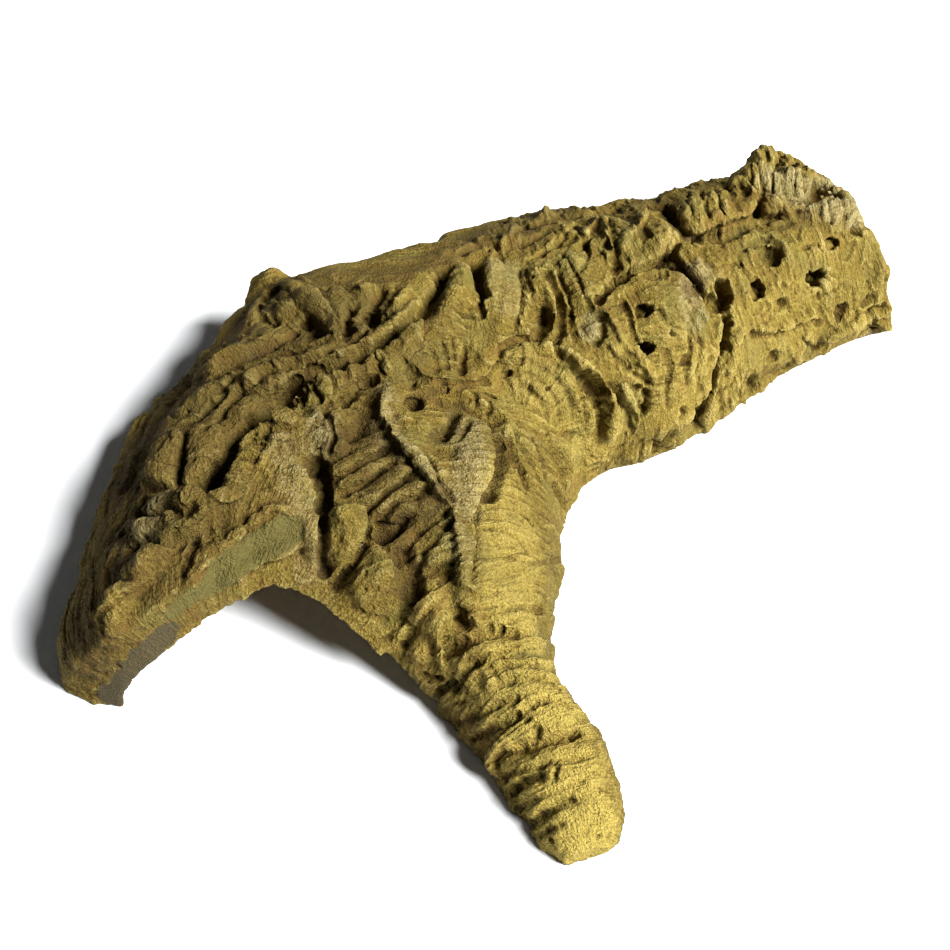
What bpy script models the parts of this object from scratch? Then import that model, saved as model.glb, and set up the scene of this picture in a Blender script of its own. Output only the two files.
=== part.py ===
"""A forked half tube of cork bark that lies hollow side down as a cave."""

import math
from dataclasses import dataclass

import bmesh
import bpy
import numpy as np
from mathutils import Vector, noise

MM = 0.001

# The layout below is drawn with the branch towards minus Y; this turn lays the trunk along X
LAYOUT_TURN = math.radians(-27.0)
LAYOUT_SHIFT = (-10.2, 36.4)

# Mesh density, as rows along and points around each loft
TRUNK_STEPS = (84, 36)
TRUNK_HOLLOW_STEPS = (40, 15)
BRANCH_STEPS = (42, 22)
BRANCH_HOLLOW_STEPS = (16, 9)

# How far each loft runs below the floor, so that no two bases share a plane
TRUNK_DEPTH = 12.0
BRANCH_DEPTH = 14.0
HOLLOW_DEPTH = 16.0
BRANCH_HOLLOW_DEPTH = 18.0
FOOT_SHARE = 0.08

# Fork joint, a plane across the root of the branch
FORK_GAP = 0.3
FORK_LEFT = (-66.0, -102.0)
FORK_RIGHT = (52.0, -22.0)
FORK_OVER = 60.0

# Sawn mouth: place along X, place of the face at the rim height, and how far it leans back per height
MOUTH = (
    (-260.0, -120.0, 0.0),
    (-190.0, -128.0, 0.0),
    (-176.0, -134.0, 0.0),
    (-160.0, -137.0, 0.0),
    (-146.0, -135.0, 0.05),
    (-131.0, -128.0, 0.1),
    (-115.0, -118.0, 0.45),
    (-100.0, -111.0, 0.9),
    (-84.0, -107.0, 1.1),
    (-60.0, -104.0, 1.1),
    (80.0, -96.0, 1.0),
)
MOUTH_RIM = 50.0
MOUTH_HEIGHTS = (-40.0, 0.0, 50.0, 120.0)
FAR = 400.0

# Width over which the trunk and the branch run into each other, and the rise at their meeting
BLEND = 26.0
BLEND_RISE = 6.5

# Dull corky brown
BARK_COLOUR = (0.27, 0.19, 0.07, 1.0)
BARK_ROUGHNESS = 0.9


@dataclass(frozen=True)
class Arch:
    """One cross-section: feet in plan, crest height, crest place and side powers."""

    left: tuple
    right: tuple
    crest: float
    crown: float = 0.5
    left_power: float = 0.92
    right_power: float = 0.92

    def row(self):
        """The numbers of the arch as one flat row."""
        return (*self.left, *self.right, self.crest, self.crown, self.left_power, self.right_power)


TRUNK = (
    Arch((-174, -164), (-44, -172), 73, 0.5, 1.05),
    Arch((-193, -108), (-40, -118), 77, 0.5, 1.0),
    Arch((-185, -58), (-18, -75), 78, 0.5, 1.0),
    Arch((-174, -4), (-4, -45), 79, 0.5, 1.0),
    Arch((-150, 50), (4, -30), 80, 0.5, 1.0),
    Arch((-122, 94), (14, -20), 80, 0.5, 0.95),
    Arch((-66, 115), (36, -8), 79),
    Arch((-4, 138), (68, 1), 77),
    Arch((52, 154), (100, 14), 75),
    Arch((106, 174), (144, 50), 71),
    Arch((144, 191), (186, 80), 66),
    Arch((166, 198), (226, 99), 56),
)
TRUNK_HOLLOW = (
    Arch((-138, -205), (-22, -200), 51, 0.51, 0.95, 1.6),
    Arch((-165, -116), (-16, -122), 53, 0.51, 0.95, 1.6),
    Arch((-162, -60), (-26, -72), 53, 0.5, 0.95, 1.2),
    Arch((-152, -8), (-24, -40), 54, 0.5, 0.95, 0.95),
    Arch((-132, 36), (-14, -16), 54),
    Arch((-106, 72), (-4, -6), 54),
    Arch((-56, 92), (32, 4), 54),
    Arch((2, 118), (60, 20), 53),
    Arch((58, 136), (94, 34), 51),
    Arch((110, 156), (137, 67), 48),
    Arch((148, 174), (180, 96), 44),
    Arch((172, 181), (217, 113), 37),
    Arch((198, 205), (243, 137), 35),
)
BRANCH = (
    Arch((-100, 0), (50, -5), 66),
    Arch((-90, -50), (43, -40), 68),
    Arch((-80, -90), (42, -68), 63, 0.5, 0.8),
    Arch((-60, -108), (38, -90), 55, 0.5, 0.85),
    Arch((-38, -122), (38, -110), 48),
    Arch((-17, -141), (41, -130), 42),
    Arch((1, -165), (54, -155), 36),
    Arch((14, -187), (64, -176), 32),
    Arch((26, -205), (66, -196), 26),
    Arch((38, -217), (58, -210), 12),
)
BRANCH_HOLLOW = (
    Arch((-72, 0), (28, 0), 40),
    Arch((-60, -50), (27, -42), 42),
    Arch((-50, -84), (26, -70), 38),
    Arch((-34, -106), (23, -92), 33),
    Arch((-16, -124), (24, -112), 29),
    Arch((2, -142), (28, -132), 25),
    Arch((17, -164), (42, -154), 20),
    Arch((28, -184), (50, -175), 15),
    Arch((34, -195), (50, -188), 8),
)


@dataclass(frozen=True)
class Stroke:
    """A ridge, or a furrow where the rise is negative, along surface points."""

    rise: float
    width: float
    points: tuple


@dataclass(frozen=True)
class Hole:
    """A blind bore made by an insect, square to the surface."""

    centre: tuple
    radius: float


RIDGES = (
    Stroke(5, 13, ((-21, 34, 78), (-35, 18, 77), (-49, 4, 79), (-64, -2, 79), (-77, -11, 79), (-86, -19, 79))),
    Stroke(6, 11, ((-89, -31, 78), (-102, -40, 78), (-106, -55, 77), (-110, -69, 77), (-122, -80, 76))),
    Stroke(5, 10, ((-122, -80, 76), (-136, -96, 73), (-150, -117, 68), (-157, -134, 59))),
    Stroke(5, 9, ((-43, -9, 76), (-35, -29, 72), (-21, -50, 68), (-11, -67, 64), (-4, -85, 58), (-3, -105, 51))),
    Stroke(3, 8, ((-67, 24, 80), (-83, 8, 79), (-104, 2, 76), (-124, -6, 70))),
    Stroke(4, 8, ((-26, 47, 79), (-38, 30, 79), (-59, 13, 80), (-82, 3, 79), (-100, -8, 77))),
    Stroke(4, 8, ((-103, 29, 72), (-116, 23, 68), (-128, 19, 62))),
    Stroke(5, 12, ((-5, 64, 78), (-11, 47, 78), (-16, 31, 77))),
    Stroke(4, 9, ((10, 64, 77), (14, 42, 76), (12, 24, 70))),
    Stroke(5, 9, ((48, 80, 76), (54, 57, 74), (62, 44, 70), (68, 30, 61))),
    Stroke(4, 9, ((48, 24, 62), (61, 16, 51), (67, 9, 38), (64, 4, 30))),
    Stroke(3, 7, ((-68, -60, 74), (-41, -37, 72))),
    Stroke(3, 7, ((-63, -68, 72), (-25, -43, 70))),
    Stroke(3, 7, ((-46, -77, 66), (-15, -61, 66))),
    Stroke(6, 18, ((-12, 128, 46), (15, 134, 46), (45, 141, 45))),
    Stroke(4, 14, ((-178, -70, 24), (-176, -30, 26), (-168, 10, 24))),
    Stroke(4, 12, ((60, 158, 22), (100, 172, 22), (150, 192, 20))),
    Stroke(4, 12, ((-70, 112, 24), (-30, 126, 24), (20, 142, 22))),
    Stroke(4, 12, ((84, 2, 24), (112, 22, 26), (150, 50, 24), (196, 84, 20))),
)
FURROWS = (
    Stroke(-8, 10, ((-13, 66, 77), (-24, 44, 79), (-37, 23, 78), (-53, 8, 79), (-70, 0, 79), (-85, -11, 79))),
    Stroke(-9, 12, ((-85, -11, 79), (-98, -26, 78), (-108, -43, 77), (-118, -63, 76))),
    Stroke(-5, 8, ((-48, -5, 78), (-59, -14, 78), (-68, -22, 78))),
    Stroke(-9, 9, ((-76, -49, 76), (-70, -61, 75), (-68, -76, 72), (-68, -89, 63), (-66, -100, 53))),
    Stroke(-6, 8, ((0, 78, 76), (3, 56, 78))),
    Stroke(-6, 8, ((38, 68, 76), (42, 55, 75), (43, 44, 73), (40, 34, 70), (41, 27, 66))),
    Stroke(-5, 7, ((30, 49, 75), (34, 36, 72), (26, 26, 68))),
    Stroke(-6, 8, ((124, 68, 61), (126, 61, 55), (122, 45, 42), (119, 36, 32), (118, 31, 22), (112, 24, 11))),
    Stroke(-5, 9, ((78, 69, 74), (90, 78, 73), (100, 75, 71), (107, 70, 68), (113, 61, 63))),
    Stroke(-5, 9, ((100, 124, 69), (104, 103, 72), (120, 96, 70))),
    Stroke(-6, 9, ((144, 129, 68), (146, 114, 68), (162, 120, 66))),
    Stroke(-4, 8, ((-13, -128, 37), (0, -126, 44), (13, -123, 44), (31, -117, 29))),
    Stroke(-4, 8, ((-19, -137, 9), (-8, -140, 28), (0, -138, 38), (11, -141, 40))),
    Stroke(-4, 7, ((2, -166, 6), (10, -170, 22), (25, -173, 32), (44, -167, 31))),
    Stroke(-3, 6, ((15, -186, 11), (23, -187, 24), (31, -187, 29))),
    Stroke(-3, 6, ((20, -197, 3), (31, -201, 21), (42, -197, 27))),
    Stroke(-5, 18, ((-90, 108, 44), (-60, 116, 44), (-35, 121, 44))),
    Stroke(-5, 22, ((-132, 74, 30), (-148, 54, 30))),
    Stroke(-5, 10, ((-164, -40, 48), (-150, 8, 50), (-128, 42, 52), (-96, 66, 58))),
    Stroke(-5, 9, ((-20, 108, 62), (30, 118, 60), (80, 134, 58))),
    Stroke(-5, 10, ((90, 150, 52), (130, 168, 48), (160, 184, 40))),
)
LUMPS = (
    Stroke(5, 26, ((34, 7, 53),)),
    Stroke(4, 28, ((78, 97, 74),)),
    Stroke(5, 24, ((122, 120, 70),)),
    Stroke(5, 26, ((162, 154, 62),)),
    Stroke(8, 26, ((160, 186, 46),)),
    Stroke(4, 22, ((189, 127, 58),)),
    Stroke(14, 20, ((-112, 96, 46),)),
    Stroke(5, 16, ((-140, -42, 67),)),
    Stroke(5, 15, ((-127, -69, 74),)),
    Stroke(4, 15, ((-146, -79, 68),)),
    Stroke(4, 12, ((-70, -38, 77),)),
    Stroke(6, 14, ((-58, -84, 67),)),
    Stroke(5, 16, ((-46, -100, 54),)),
    Stroke(4, 17, ((-3, -39, 65),)),
    Stroke(3, 20, ((30, -186, 29),)),
    Stroke(3, 12, ((-20, -115, 45),)),
    Stroke(6, 26, ((-172, 20, 20),)),
    Stroke(-6, 9, ((-6, -116, 47),)),
    Stroke(-5, 14, ((-80, 32, 78),)),
)
HOLES = (
    Hole((84, 49, 67), 3.2),
    Hole((84, 33, 58), 3.6),
    Hole((124, 65, 59), 5.5),
    Hole((144, 76, 55), 3.4),
    Hole((151, 94, 62), 3.6),
    Hole((178, 92, 47), 4.2),
    Hole((186, 110, 55), 2.8),
    Hole((16, 13, 64), 4.0),
    Hole((-39, -82, 64), 4.0),
    Hole((-50, 35, 79), 3.6),
    Hole((-29, -15, 72), 4.0),
)
HOLE_SIDES = 8
HOLE_DEPTH = 9.0
HOLE_ABOVE = 16.0

# Uneven growth all over, in long waves along the grain and short ones across it
GRAIN_ALONG = 46.0
GRAIN_AROUND = 13.0
GRAIN_RISE = 2.6
KNOBBLE_SIZE = 15.0
KNOBBLE_RISE = 1.6
END_RAG = 5.0


def smooth(arches, count):
    """Cubic curve through the arches, evenly spaced in plan, one row each."""
    rows = np.array([arch.row() for arch in arches], float)
    middle = (rows[:, 0:2] + rows[:, 2:4]) / 2
    steps = np.linalg.norm(np.diff(middle, axis=0), axis=1)
    run = np.concatenate([[0.0], np.cumsum(steps)])
    slope = np.gradient(rows, run, axis=0)
    at = np.linspace(0.0, run[-1], count)
    cell = np.clip(np.searchsorted(run, at) - 1, 0, len(run) - 2)
    length = (run[cell + 1] - run[cell])[:, None]
    part = (at - run[cell])[:, None] / length
    return (
        (2 * part**3 - 3 * part**2 + 1) * rows[cell]
        + (part**3 - 2 * part**2 + part) * length * slope[cell]
        + (3 * part**2 - 2 * part**3) * rows[cell + 1]
        + (part**3 - part**2) * length * slope[cell + 1]
    )


def arch_grid(arches, steps):
    """Points of a loft through arches, indexed [along, around]."""
    along, around = steps
    rows = smooth(arches, along)
    turn = np.linspace(-math.pi / 2, math.pi / 2, around)[None, :]
    power = np.where(turn < 0, rows[:, 6:7], rows[:, 7:8])
    side = np.sign(turn) * np.abs(np.sin(turn)) ** power
    rise = np.abs(np.cos(turn)) ** power
    left, right = rows[:, None, 0:2], rows[:, None, 2:4]
    crown = left + (right - left) * rows[:, None, 5:6]
    reach = np.where(turn[..., None] < 0, crown - left, right - crown)
    plan = crown + reach * side[..., None]
    height = rows[:, 4:5] * rise
    return np.concatenate([plan, height[..., None]], axis=2)


def normals(grid):
    """Unit normals of a loft, pointing up and out."""
    along = np.gradient(grid, axis=0)
    around = np.gradient(grid, axis=1)
    across = np.cross(around, along)
    across /= np.linalg.norm(across, axis=2, keepdims=True) + 1e-9
    flip = np.sign((across * np.array([0.0, 0.0, 1.0])).sum(axis=2).mean())
    return across * flip


def blended(grid, other):
    """A loft pushed out where it runs close to another one."""
    points = other.reshape(-1, 3)
    other_facing = normals(other).reshape(-1, 3)
    flat = grid.reshape(-1, 3)
    push = np.zeros(len(flat))
    for i, point in enumerate(flat):
        apart = points - point
        near = int(np.argmin((apart * apart).sum(axis=1)))
        distance = float(-(apart[near] @ other_facing[near]))
        share = max(0.0, 1.0 - abs(distance) / BLEND)
        if distance < 0:
            share = 1.0 - min(1.0, -distance / BLEND) ** 2
        straight = float(np.linalg.norm(apart[near]))
        share *= max(0.0, 1.0 - max(0.0, straight - abs(distance)) / BLEND)
        push[i] = BLEND_RISE * share * share
    return moved(grid, push.reshape(grid.shape[:2]))


def moved(grid, push):
    """A loft pushed out along its normals, with both feet kept on the floor."""
    facing = normals(grid)
    facing[:, 0, 2] = 0.0
    facing[:, -1, 2] = 0.0
    out = grid + facing * push[..., None]
    out[..., 2] = np.maximum(out[..., 2], 0.0)
    return out


def segment_distance(points, start, end):
    """Distance of each point from a straight piece of line."""
    line = end - start
    length = float(line @ line)
    if length == 0.0:
        return np.linalg.norm(points - start, axis=1)
    share = np.clip((points - start) @ line / length, 0.0, 1.0)
    return np.linalg.norm(points - start - share[:, None] * line, axis=1)


def stroke_push(points, stroke):
    """How far one ridge, furrow or lump moves each point."""
    path = np.array(stroke.points, float)
    ends = path[1:] if len(path) > 1 else path
    nearest = np.full(len(points), np.inf)
    for start, end in zip(path, ends):
        nearest = np.minimum(nearest, segment_distance(points, start, end))
    near = np.clip(1.0 - (nearest / stroke.width) ** 2, 0.0, 1.0)
    return stroke.rise * near * near


def grain_push(grid, seed):
    """Growth waves over a loft, from its own lengths along and around."""
    along = np.zeros(grid.shape[:2])
    around = np.zeros(grid.shape[:2])
    along[1:] = np.cumsum(np.linalg.norm(np.diff(grid, axis=0), axis=2), axis=0).mean(axis=1)[:, None]
    around[:, 1:] = np.cumsum(np.linalg.norm(np.diff(grid, axis=1), axis=2), axis=1)
    push = np.zeros(grid.shape[:2])
    for i, j in np.ndindex(push.shape):
        wave = noise.noise(Vector((along[i, j] / GRAIN_ALONG, around[i, j] / GRAIN_AROUND, seed)))
        bump = noise.noise(Vector(grid[i, j] / KNOBBLE_SIZE))
        push[i, j] = GRAIN_RISE * wave + KNOBBLE_RISE * bump
    return push


def carved(grid, seed):
    """A loft with its ridges, furrows, lumps and growth waves."""
    points = grid.reshape(-1, 3)
    push = np.zeros(len(points))
    for stroke in RIDGES + FURROWS + LUMPS:
        push += stroke_push(points, stroke)
    return moved(grid, push.reshape(grid.shape[:2]) + grain_push(grid, seed))


def ragged(grid):
    """A loft whose last row is broken off unevenly."""
    out = grid.copy()
    onward = grid[-1] - grid[-2]
    onward /= np.linalg.norm(onward, axis=1, keepdims=True)
    for j, point in enumerate(grid[-1]):
        out[-1, j] += onward[j] * END_RAG * noise.noise(Vector(point / KNOBBLE_SIZE))
    return out


def bore(hole, grid, name, collection):
    """Cutter for one insect hole, square to the loft below it."""
    points = grid.reshape(-1, 3)
    near = int(np.argmin(np.linalg.norm(points - np.array(hole.centre, float), axis=1)))
    facing = Vector(normals(grid).reshape(-1, 3)[near])
    centre = Vector(hole.centre)
    side = facing.orthogonal().normalized()
    other = facing.cross(side)
    ring = []
    for k in range(HOLE_SIDES):
        turn = 2 * math.pi * k / HOLE_SIDES
        spoke = side * math.cos(turn) + other * math.sin(turn)
        ring.append(tuple(centre - facing * HOLE_DEPTH + spoke * hole.radius))
    return prism(name, ring, tuple(facing * (HOLE_DEPTH + HOLE_ABOVE)), collection)


def placed(points):
    """Layout points turned and shifted into the object's frame."""
    cos, sin = math.cos(LAYOUT_TURN), math.sin(LAYOUT_TURN)
    out = np.array(points, float)
    x, y = out[..., 0].copy(), out[..., 1].copy()
    out[..., 0] = cos * x - sin * y + LAYOUT_SHIFT[0]
    out[..., 1] = sin * x + cos * y + LAYOUT_SHIFT[1]
    return out


def finished(name, mesh, collection):
    """Object from a closed mesh, with its faces turned outwards."""
    bmesh.ops.recalc_face_normals(mesh, faces=mesh.faces)
    bmesh.ops.triangulate(mesh, faces=mesh.faces)
    data = bpy.data.meshes.new(name)
    mesh.to_mesh(data)
    mesh.free()
    made = bpy.data.objects.new(name, data)
    collection.objects.link(made)
    return made


def solid(name, grid, collection, depth):
    """Closed body under a loft, carried down below the floor by the depth."""
    grid = grid.copy()
    grid[:, 0, 2] = -depth * FOOT_SHARE
    grid[:, -1, 2] = -depth * FOOT_SHARE
    foot_left = grid[:, :1].copy()
    foot_right = grid[:, -1:].copy()
    foot_left[..., 2] = -depth
    foot_right[..., 2] = -depth
    grid = placed(np.concatenate([foot_left, grid, foot_right], axis=1))
    along, around = grid.shape[:2]
    mesh = bmesh.new()
    points = [[mesh.verts.new(Vector(point) * MM) for point in row] for row in grid]
    for i in range(along - 1):
        for j in range(around - 1):
            mesh.faces.new((points[i][j], points[i + 1][j], points[i + 1][j + 1], points[i][j + 1]))
        mesh.faces.new((points[i][0], points[i][-1], points[i + 1][-1], points[i + 1][0]))
    mesh.faces.new(points[0])
    mesh.faces.new(points[-1])
    return finished(name, mesh, collection)


def prism(name, ring, reach, collection):
    """Block between a ring of points and the same ring moved by the reach."""
    mesh = bmesh.new()
    near = [mesh.verts.new(Vector(point) * MM) for point in placed(ring)]
    away = [mesh.verts.new(Vector(point) * MM) for point in placed(np.array(ring) + np.array(reach))]
    mesh.faces.new(near)
    mesh.faces.new(away)
    for i in range(len(near)):
        j = (i + 1) % len(near)
        mesh.faces.new((near[i], near[j], away[j], away[i]))
    return finished(name, mesh, collection)


def mouth_block(collection):
    """Everything ahead of the sawn face, whose upper part leans back."""
    mesh = bmesh.new()
    rows = []
    for x, y, lean in MOUTH:
        back = [(x, y + lean * (z - MOUTH_RIM), z) for z in MOUTH_HEIGHTS]
        ring = [*back, (x, -FAR, MOUTH_HEIGHTS[-1]), (x, -FAR, MOUTH_HEIGHTS[0])]
        rows.append([mesh.verts.new(Vector(point) * MM) for point in placed(ring)])
    for i in range(len(rows) - 1):
        for j in range(len(rows[0])):
            k = (j + 1) % len(rows[0])
            mesh.faces.new((rows[i][j], rows[i + 1][j], rows[i + 1][k], rows[i][k]))
    mesh.faces.new(rows[0])
    mesh.faces.new(rows[-1])
    return finished("mouth_cut", mesh, collection)


def near_block(name, back, collection):
    """Everything on the branch side of the fork, with its face set back by a distance."""
    left = np.array(FORK_LEFT)
    right = np.array(FORK_RIGHT)
    across = (right - left) / np.linalg.norm(right - left)
    ahead = np.array([across[1], -across[0]])
    start = left - across * FORK_OVER - ahead * back
    end = right + across * FAR - ahead * back
    ring = [(*start, -FAR), (*end, -FAR), (*(end + ahead * FAR), -FAR), (*(start + ahead * FAR), -FAR)]
    return prism(name, ring, (0.0, 0.0, 2 * FAR), collection)


def cutter(made):
    """Mark an object as a helper that only takes part in Booleans."""
    made.hide_render = True
    made.display_type = "WIRE"
    return made


def boolean(target, other, operation):
    """Add one exact Boolean modifier."""
    step = target.modifiers.new(other.name, "BOOLEAN")
    step.operation = operation
    step.solver = "EXACT"
    step.object = other


def bark_material(name):
    """Plain corky material for one piece of the bark."""
    made = bpy.data.materials.new(name)
    made.use_nodes = True
    shader = made.node_tree.nodes["Principled BSDF"]
    shader.inputs["Base Color"].default_value = BARK_COLOUR
    shader.inputs["Roughness"].default_value = BARK_ROUGHNESS
    return made


def evaluated(made, name, collection):
    """A new object that holds the mesh an object has after its modifiers."""
    bpy.context.view_layer.update()
    graph = bpy.context.evaluated_depsgraph_get()
    data = bpy.data.meshes.new_from_object(made.evaluated_get(graph))
    data.materials.clear()
    data.materials.append(bark_material(name))
    new = bpy.data.objects.new(name, data)
    collection.objects.link(new)
    return new


def main():
    """Loft the trunk and the branch, hollow them, cut the mouth and part them at the fork."""
    for old in list(bpy.data.objects):
        bpy.data.objects.remove(old, do_unlink=True)
    scene = bpy.context.scene.collection
    parts = bpy.data.collections.new("cork_bark_cave")
    helpers = bpy.data.collections.new("cutters")
    scene.children.link(parts)
    scene.children.link(helpers)
    trunk_grid = arch_grid(TRUNK, TRUNK_STEPS)
    branch_grid = arch_grid(BRANCH, BRANCH_STEPS)
    trunk_out = ragged(carved(blended(trunk_grid, branch_grid), 1.5))
    branch_out = carved(blended(branch_grid, trunk_grid), 7.5)
    whole = cutter(solid("trunk_outside", trunk_out, helpers, TRUNK_DEPTH))
    branch = cutter(solid("branch_outside", branch_out, helpers, BRANCH_DEPTH))
    hollow = arch_grid(TRUNK_HOLLOW, TRUNK_HOLLOW_STEPS)
    hollow = cutter(solid("trunk_hollow", hollow, helpers, HOLLOW_DEPTH))
    branch_hollow = arch_grid(BRANCH_HOLLOW, BRANCH_HOLLOW_STEPS)
    branch_hollow = cutter(solid("branch_hollow", branch_hollow, helpers, BRANCH_HOLLOW_DEPTH))
    ring = [(-FAR, -FAR, 0.0), (FAR, -FAR, 0.0), (FAR, FAR, 0.0), (-FAR, FAR, 0.0)]
    floor = cutter(prism("floor_cut", ring, (0.0, 0.0, -FAR / 2), helpers))
    boolean(whole, cutter(mouth_block(helpers)), "DIFFERENCE")
    boolean(whole, branch, "UNION")
    boolean(whole, hollow, "DIFFERENCE")
    boolean(whole, branch_hollow, "DIFFERENCE")
    boolean(whole, floor, "DIFFERENCE")
    for number, hole in enumerate(HOLES):
        boolean(whole, cutter(bore(hole, trunk_grid, f"insect_hole_{number}", helpers)), "DIFFERENCE")
    trunk_bark = evaluated(whole, "trunk_bark", parts)
    branch_bark = evaluated(whole, "branch_bark", parts)
    boolean(trunk_bark, cutter(near_block("near_side_wide", FORK_GAP, helpers)), "DIFFERENCE")
    boolean(branch_bark, cutter(near_block("near_side", 0.0, helpers)), "INTERSECT")


main()
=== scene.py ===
"""Looks of a forked half tube of cork bark that lies hollow side down as a cave.

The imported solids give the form. They are fused, meshed finely and carved with the folds, steps,
furrows and holes of the real bark, which are placed by where the photograph shows them. Then the
branch is parted from the trunk, and the trunk into four lengths.
"""

import logging
import math
from dataclasses import dataclass
from enum import Enum

import bpy
import numpy as np
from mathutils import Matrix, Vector
from mathutils.bvhtree import BVHTree

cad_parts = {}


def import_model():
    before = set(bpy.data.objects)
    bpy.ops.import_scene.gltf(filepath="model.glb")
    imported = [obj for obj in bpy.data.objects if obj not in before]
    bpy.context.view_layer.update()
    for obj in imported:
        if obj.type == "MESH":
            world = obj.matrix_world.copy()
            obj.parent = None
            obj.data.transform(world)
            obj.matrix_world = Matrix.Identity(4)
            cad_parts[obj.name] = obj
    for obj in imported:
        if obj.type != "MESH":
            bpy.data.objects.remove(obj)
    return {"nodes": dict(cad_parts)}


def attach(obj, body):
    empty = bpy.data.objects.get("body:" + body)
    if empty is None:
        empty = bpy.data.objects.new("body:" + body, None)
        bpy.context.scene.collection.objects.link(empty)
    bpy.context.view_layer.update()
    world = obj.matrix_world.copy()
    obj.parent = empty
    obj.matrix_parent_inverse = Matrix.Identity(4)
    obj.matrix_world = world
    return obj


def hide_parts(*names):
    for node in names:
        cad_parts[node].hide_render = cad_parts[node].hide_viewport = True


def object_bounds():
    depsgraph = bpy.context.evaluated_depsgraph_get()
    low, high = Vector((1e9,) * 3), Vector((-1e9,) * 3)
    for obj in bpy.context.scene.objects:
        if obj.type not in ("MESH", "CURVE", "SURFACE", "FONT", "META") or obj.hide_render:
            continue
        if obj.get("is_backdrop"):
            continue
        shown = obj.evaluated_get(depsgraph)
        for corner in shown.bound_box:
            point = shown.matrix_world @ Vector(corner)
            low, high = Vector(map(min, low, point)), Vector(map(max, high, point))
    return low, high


LOG = logging.getLogger("cork_bark_cave")
MM = 0.001
# Added to a length before it divides, so that a length of zero gives no fault.
TINY = 1e-9
# A surface whose normal rises by less than this counts as underside.
UNDERSIDE = -0.75
Colour = tuple[float, float, float]
Path = tuple[tuple[float, float], ...]
Socket = bpy.types.NodeSocket


@dataclass(frozen=True)
class Layout:
    """The photograph's own frame in millimetres: X to the right, Y away from the camera, Z up."""

    turn: float = math.radians(-27.0)
    shift: tuple[float, float] = (-10.2, 36.4)

    def matrix(self) -> np.ndarray:
        """Rotation from this frame to the part's frame."""
        cos, sin = math.cos(self.turn), math.sin(self.turn)
        return np.array([[cos, -sin, 0.0], [sin, cos, 0.0], [0.0, 0.0, 1.0]])

    def from_part(self, places: np.ndarray) -> np.ndarray:
        """Part places in metres, as layout millimetres."""
        return (places / MM - np.array([*self.shift, 0.0])) @ self.matrix()

    def to_part(self, places: np.ndarray) -> np.ndarray:
        """Layout millimetres, as part places in metres."""
        return (places @ self.matrix().T + np.array([*self.shift, 0.0])) * MM

    def turned_from_part(self, directions: np.ndarray) -> np.ndarray:
        """Part directions in the layout frame."""
        return directions @ self.matrix()

    def turned_to_part(self, directions: np.ndarray) -> np.ndarray:
        """Layout directions in the part frame."""
        return directions @ self.matrix().T

    def aim(self, thing: bpy.types.Object, direction: np.ndarray) -> None:
        """Turn a camera or a lamp towards a layout direction and put it in the scene.

        Args:
            thing: The camera or the lamp.
            direction: Where it looks or shines.
        """
        ahead = Vector(self.turned_to_part(direction[None])[0])
        thing.rotation_mode = "QUATERNION"
        thing.rotation_quaternion = ahead.to_track_quat("-Z", "Y")
        bpy.context.scene.collection.objects.link(thing)


@dataclass(frozen=True)
class PhotoView:
    """The camera of the photograph, which looks at the layout's origin."""

    elevation: float = math.radians(52.0)
    opening: float = math.radians(30.0)
    distance: float = 900.0
    frame: float = 950.0

    def place(self) -> np.ndarray:
        """Place of the camera in the layout."""
        return -self.distance * self.ahead()

    def ahead(self) -> np.ndarray:
        """Direction in which the camera looks."""
        return np.array([0.0, math.cos(self.elevation), -math.sin(self.elevation)])

    def up(self) -> np.ndarray:
        """Upright direction of the picture."""
        return np.array([0.0, math.sin(self.elevation), math.cos(self.elevation)])

    def focal(self) -> float:
        """Focal length in pixels."""
        return self.frame / 2 / math.tan(self.opening / 2)

    def ray(self, column: float, row: float) -> np.ndarray:
        """Layout direction of the ray through a pixel.

        Args:
            column: Column of the pixel.
            row: Row of the pixel.

        Returns:
            The direction, one unit long.
        """
        right = (column - self.frame / 2) / self.focal()
        down = (row - self.frame / 2) / self.focal()
        direction = self.ahead() + right * np.array([1.0, 0.0, 0.0]) - down * self.up()
        return direction / np.linalg.norm(direction)

    def make_camera(self, layout: Layout) -> bpy.types.Object:
        """Camera object at the photograph's place and angle.

        Args:
            layout: The photograph's frame.

        Returns:
            The camera.
        """
        data = bpy.data.cameras.new("photo_camera")
        data.angle = self.opening
        camera = bpy.data.objects.new("photo_camera", data)
        camera.location = layout.to_part(self.place()[None])[0]
        layout.aim(camera, self.ahead())
        bpy.context.scene.camera = camera
        return camera


class Form(Enum):
    """What a mark does to the bark."""

    FURROW = "a rounded groove"
    CREASE = "a sharp narrow groove"
    RIDGE = "a rounded ridge"
    STEP = "an edge that stands up on the left hand of its path"
    LUMP = "a rounded lump"
    PIT = "a steep hole"


class Tone(Enum):
    """What a patch does to the colour and the roughness of the bark."""

    PALE = "grey weathered crust"
    STAIN = "red-brown stain"
    CALM = "smooth growth"
    # Yellower cork that also carries painted light, brightest on the lit branch and crests.
    GOLD = "fresh yellow cork"
    # Painted shade on the flank, the far corner, the bands and the hollows turned from the light.
    DARK = "damp dark bark"
    SMOOTH_CUT = "clean green-brown saw cut"
    ASHEN_CUT = "worn grey-brown saw cut"


FURROW, CREASE, RIDGE, STEP, LUMP, PIT = Form
PALE, STAIN, CALM, GOLD, DARK, SMOOTH_CUT, ASHEN_CUT = Tone


@dataclass(frozen=True)
class Mark:
    """One form on the bark, along pixels of the photograph, with its height and half width in mm."""

    form: Form
    rise: float
    width: float
    path: Path


@dataclass(frozen=True)
class Patch:
    """One soft patch of tone, along pixels of the photograph, with its half width in mm."""

    tone: Tone
    strength: float
    width: float
    path: Path


@dataclass(frozen=True)
class Grain:
    """A line of photograph pixels that fine layers cross, out to a half width in millimetres."""

    width: float
    path: Path


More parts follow.
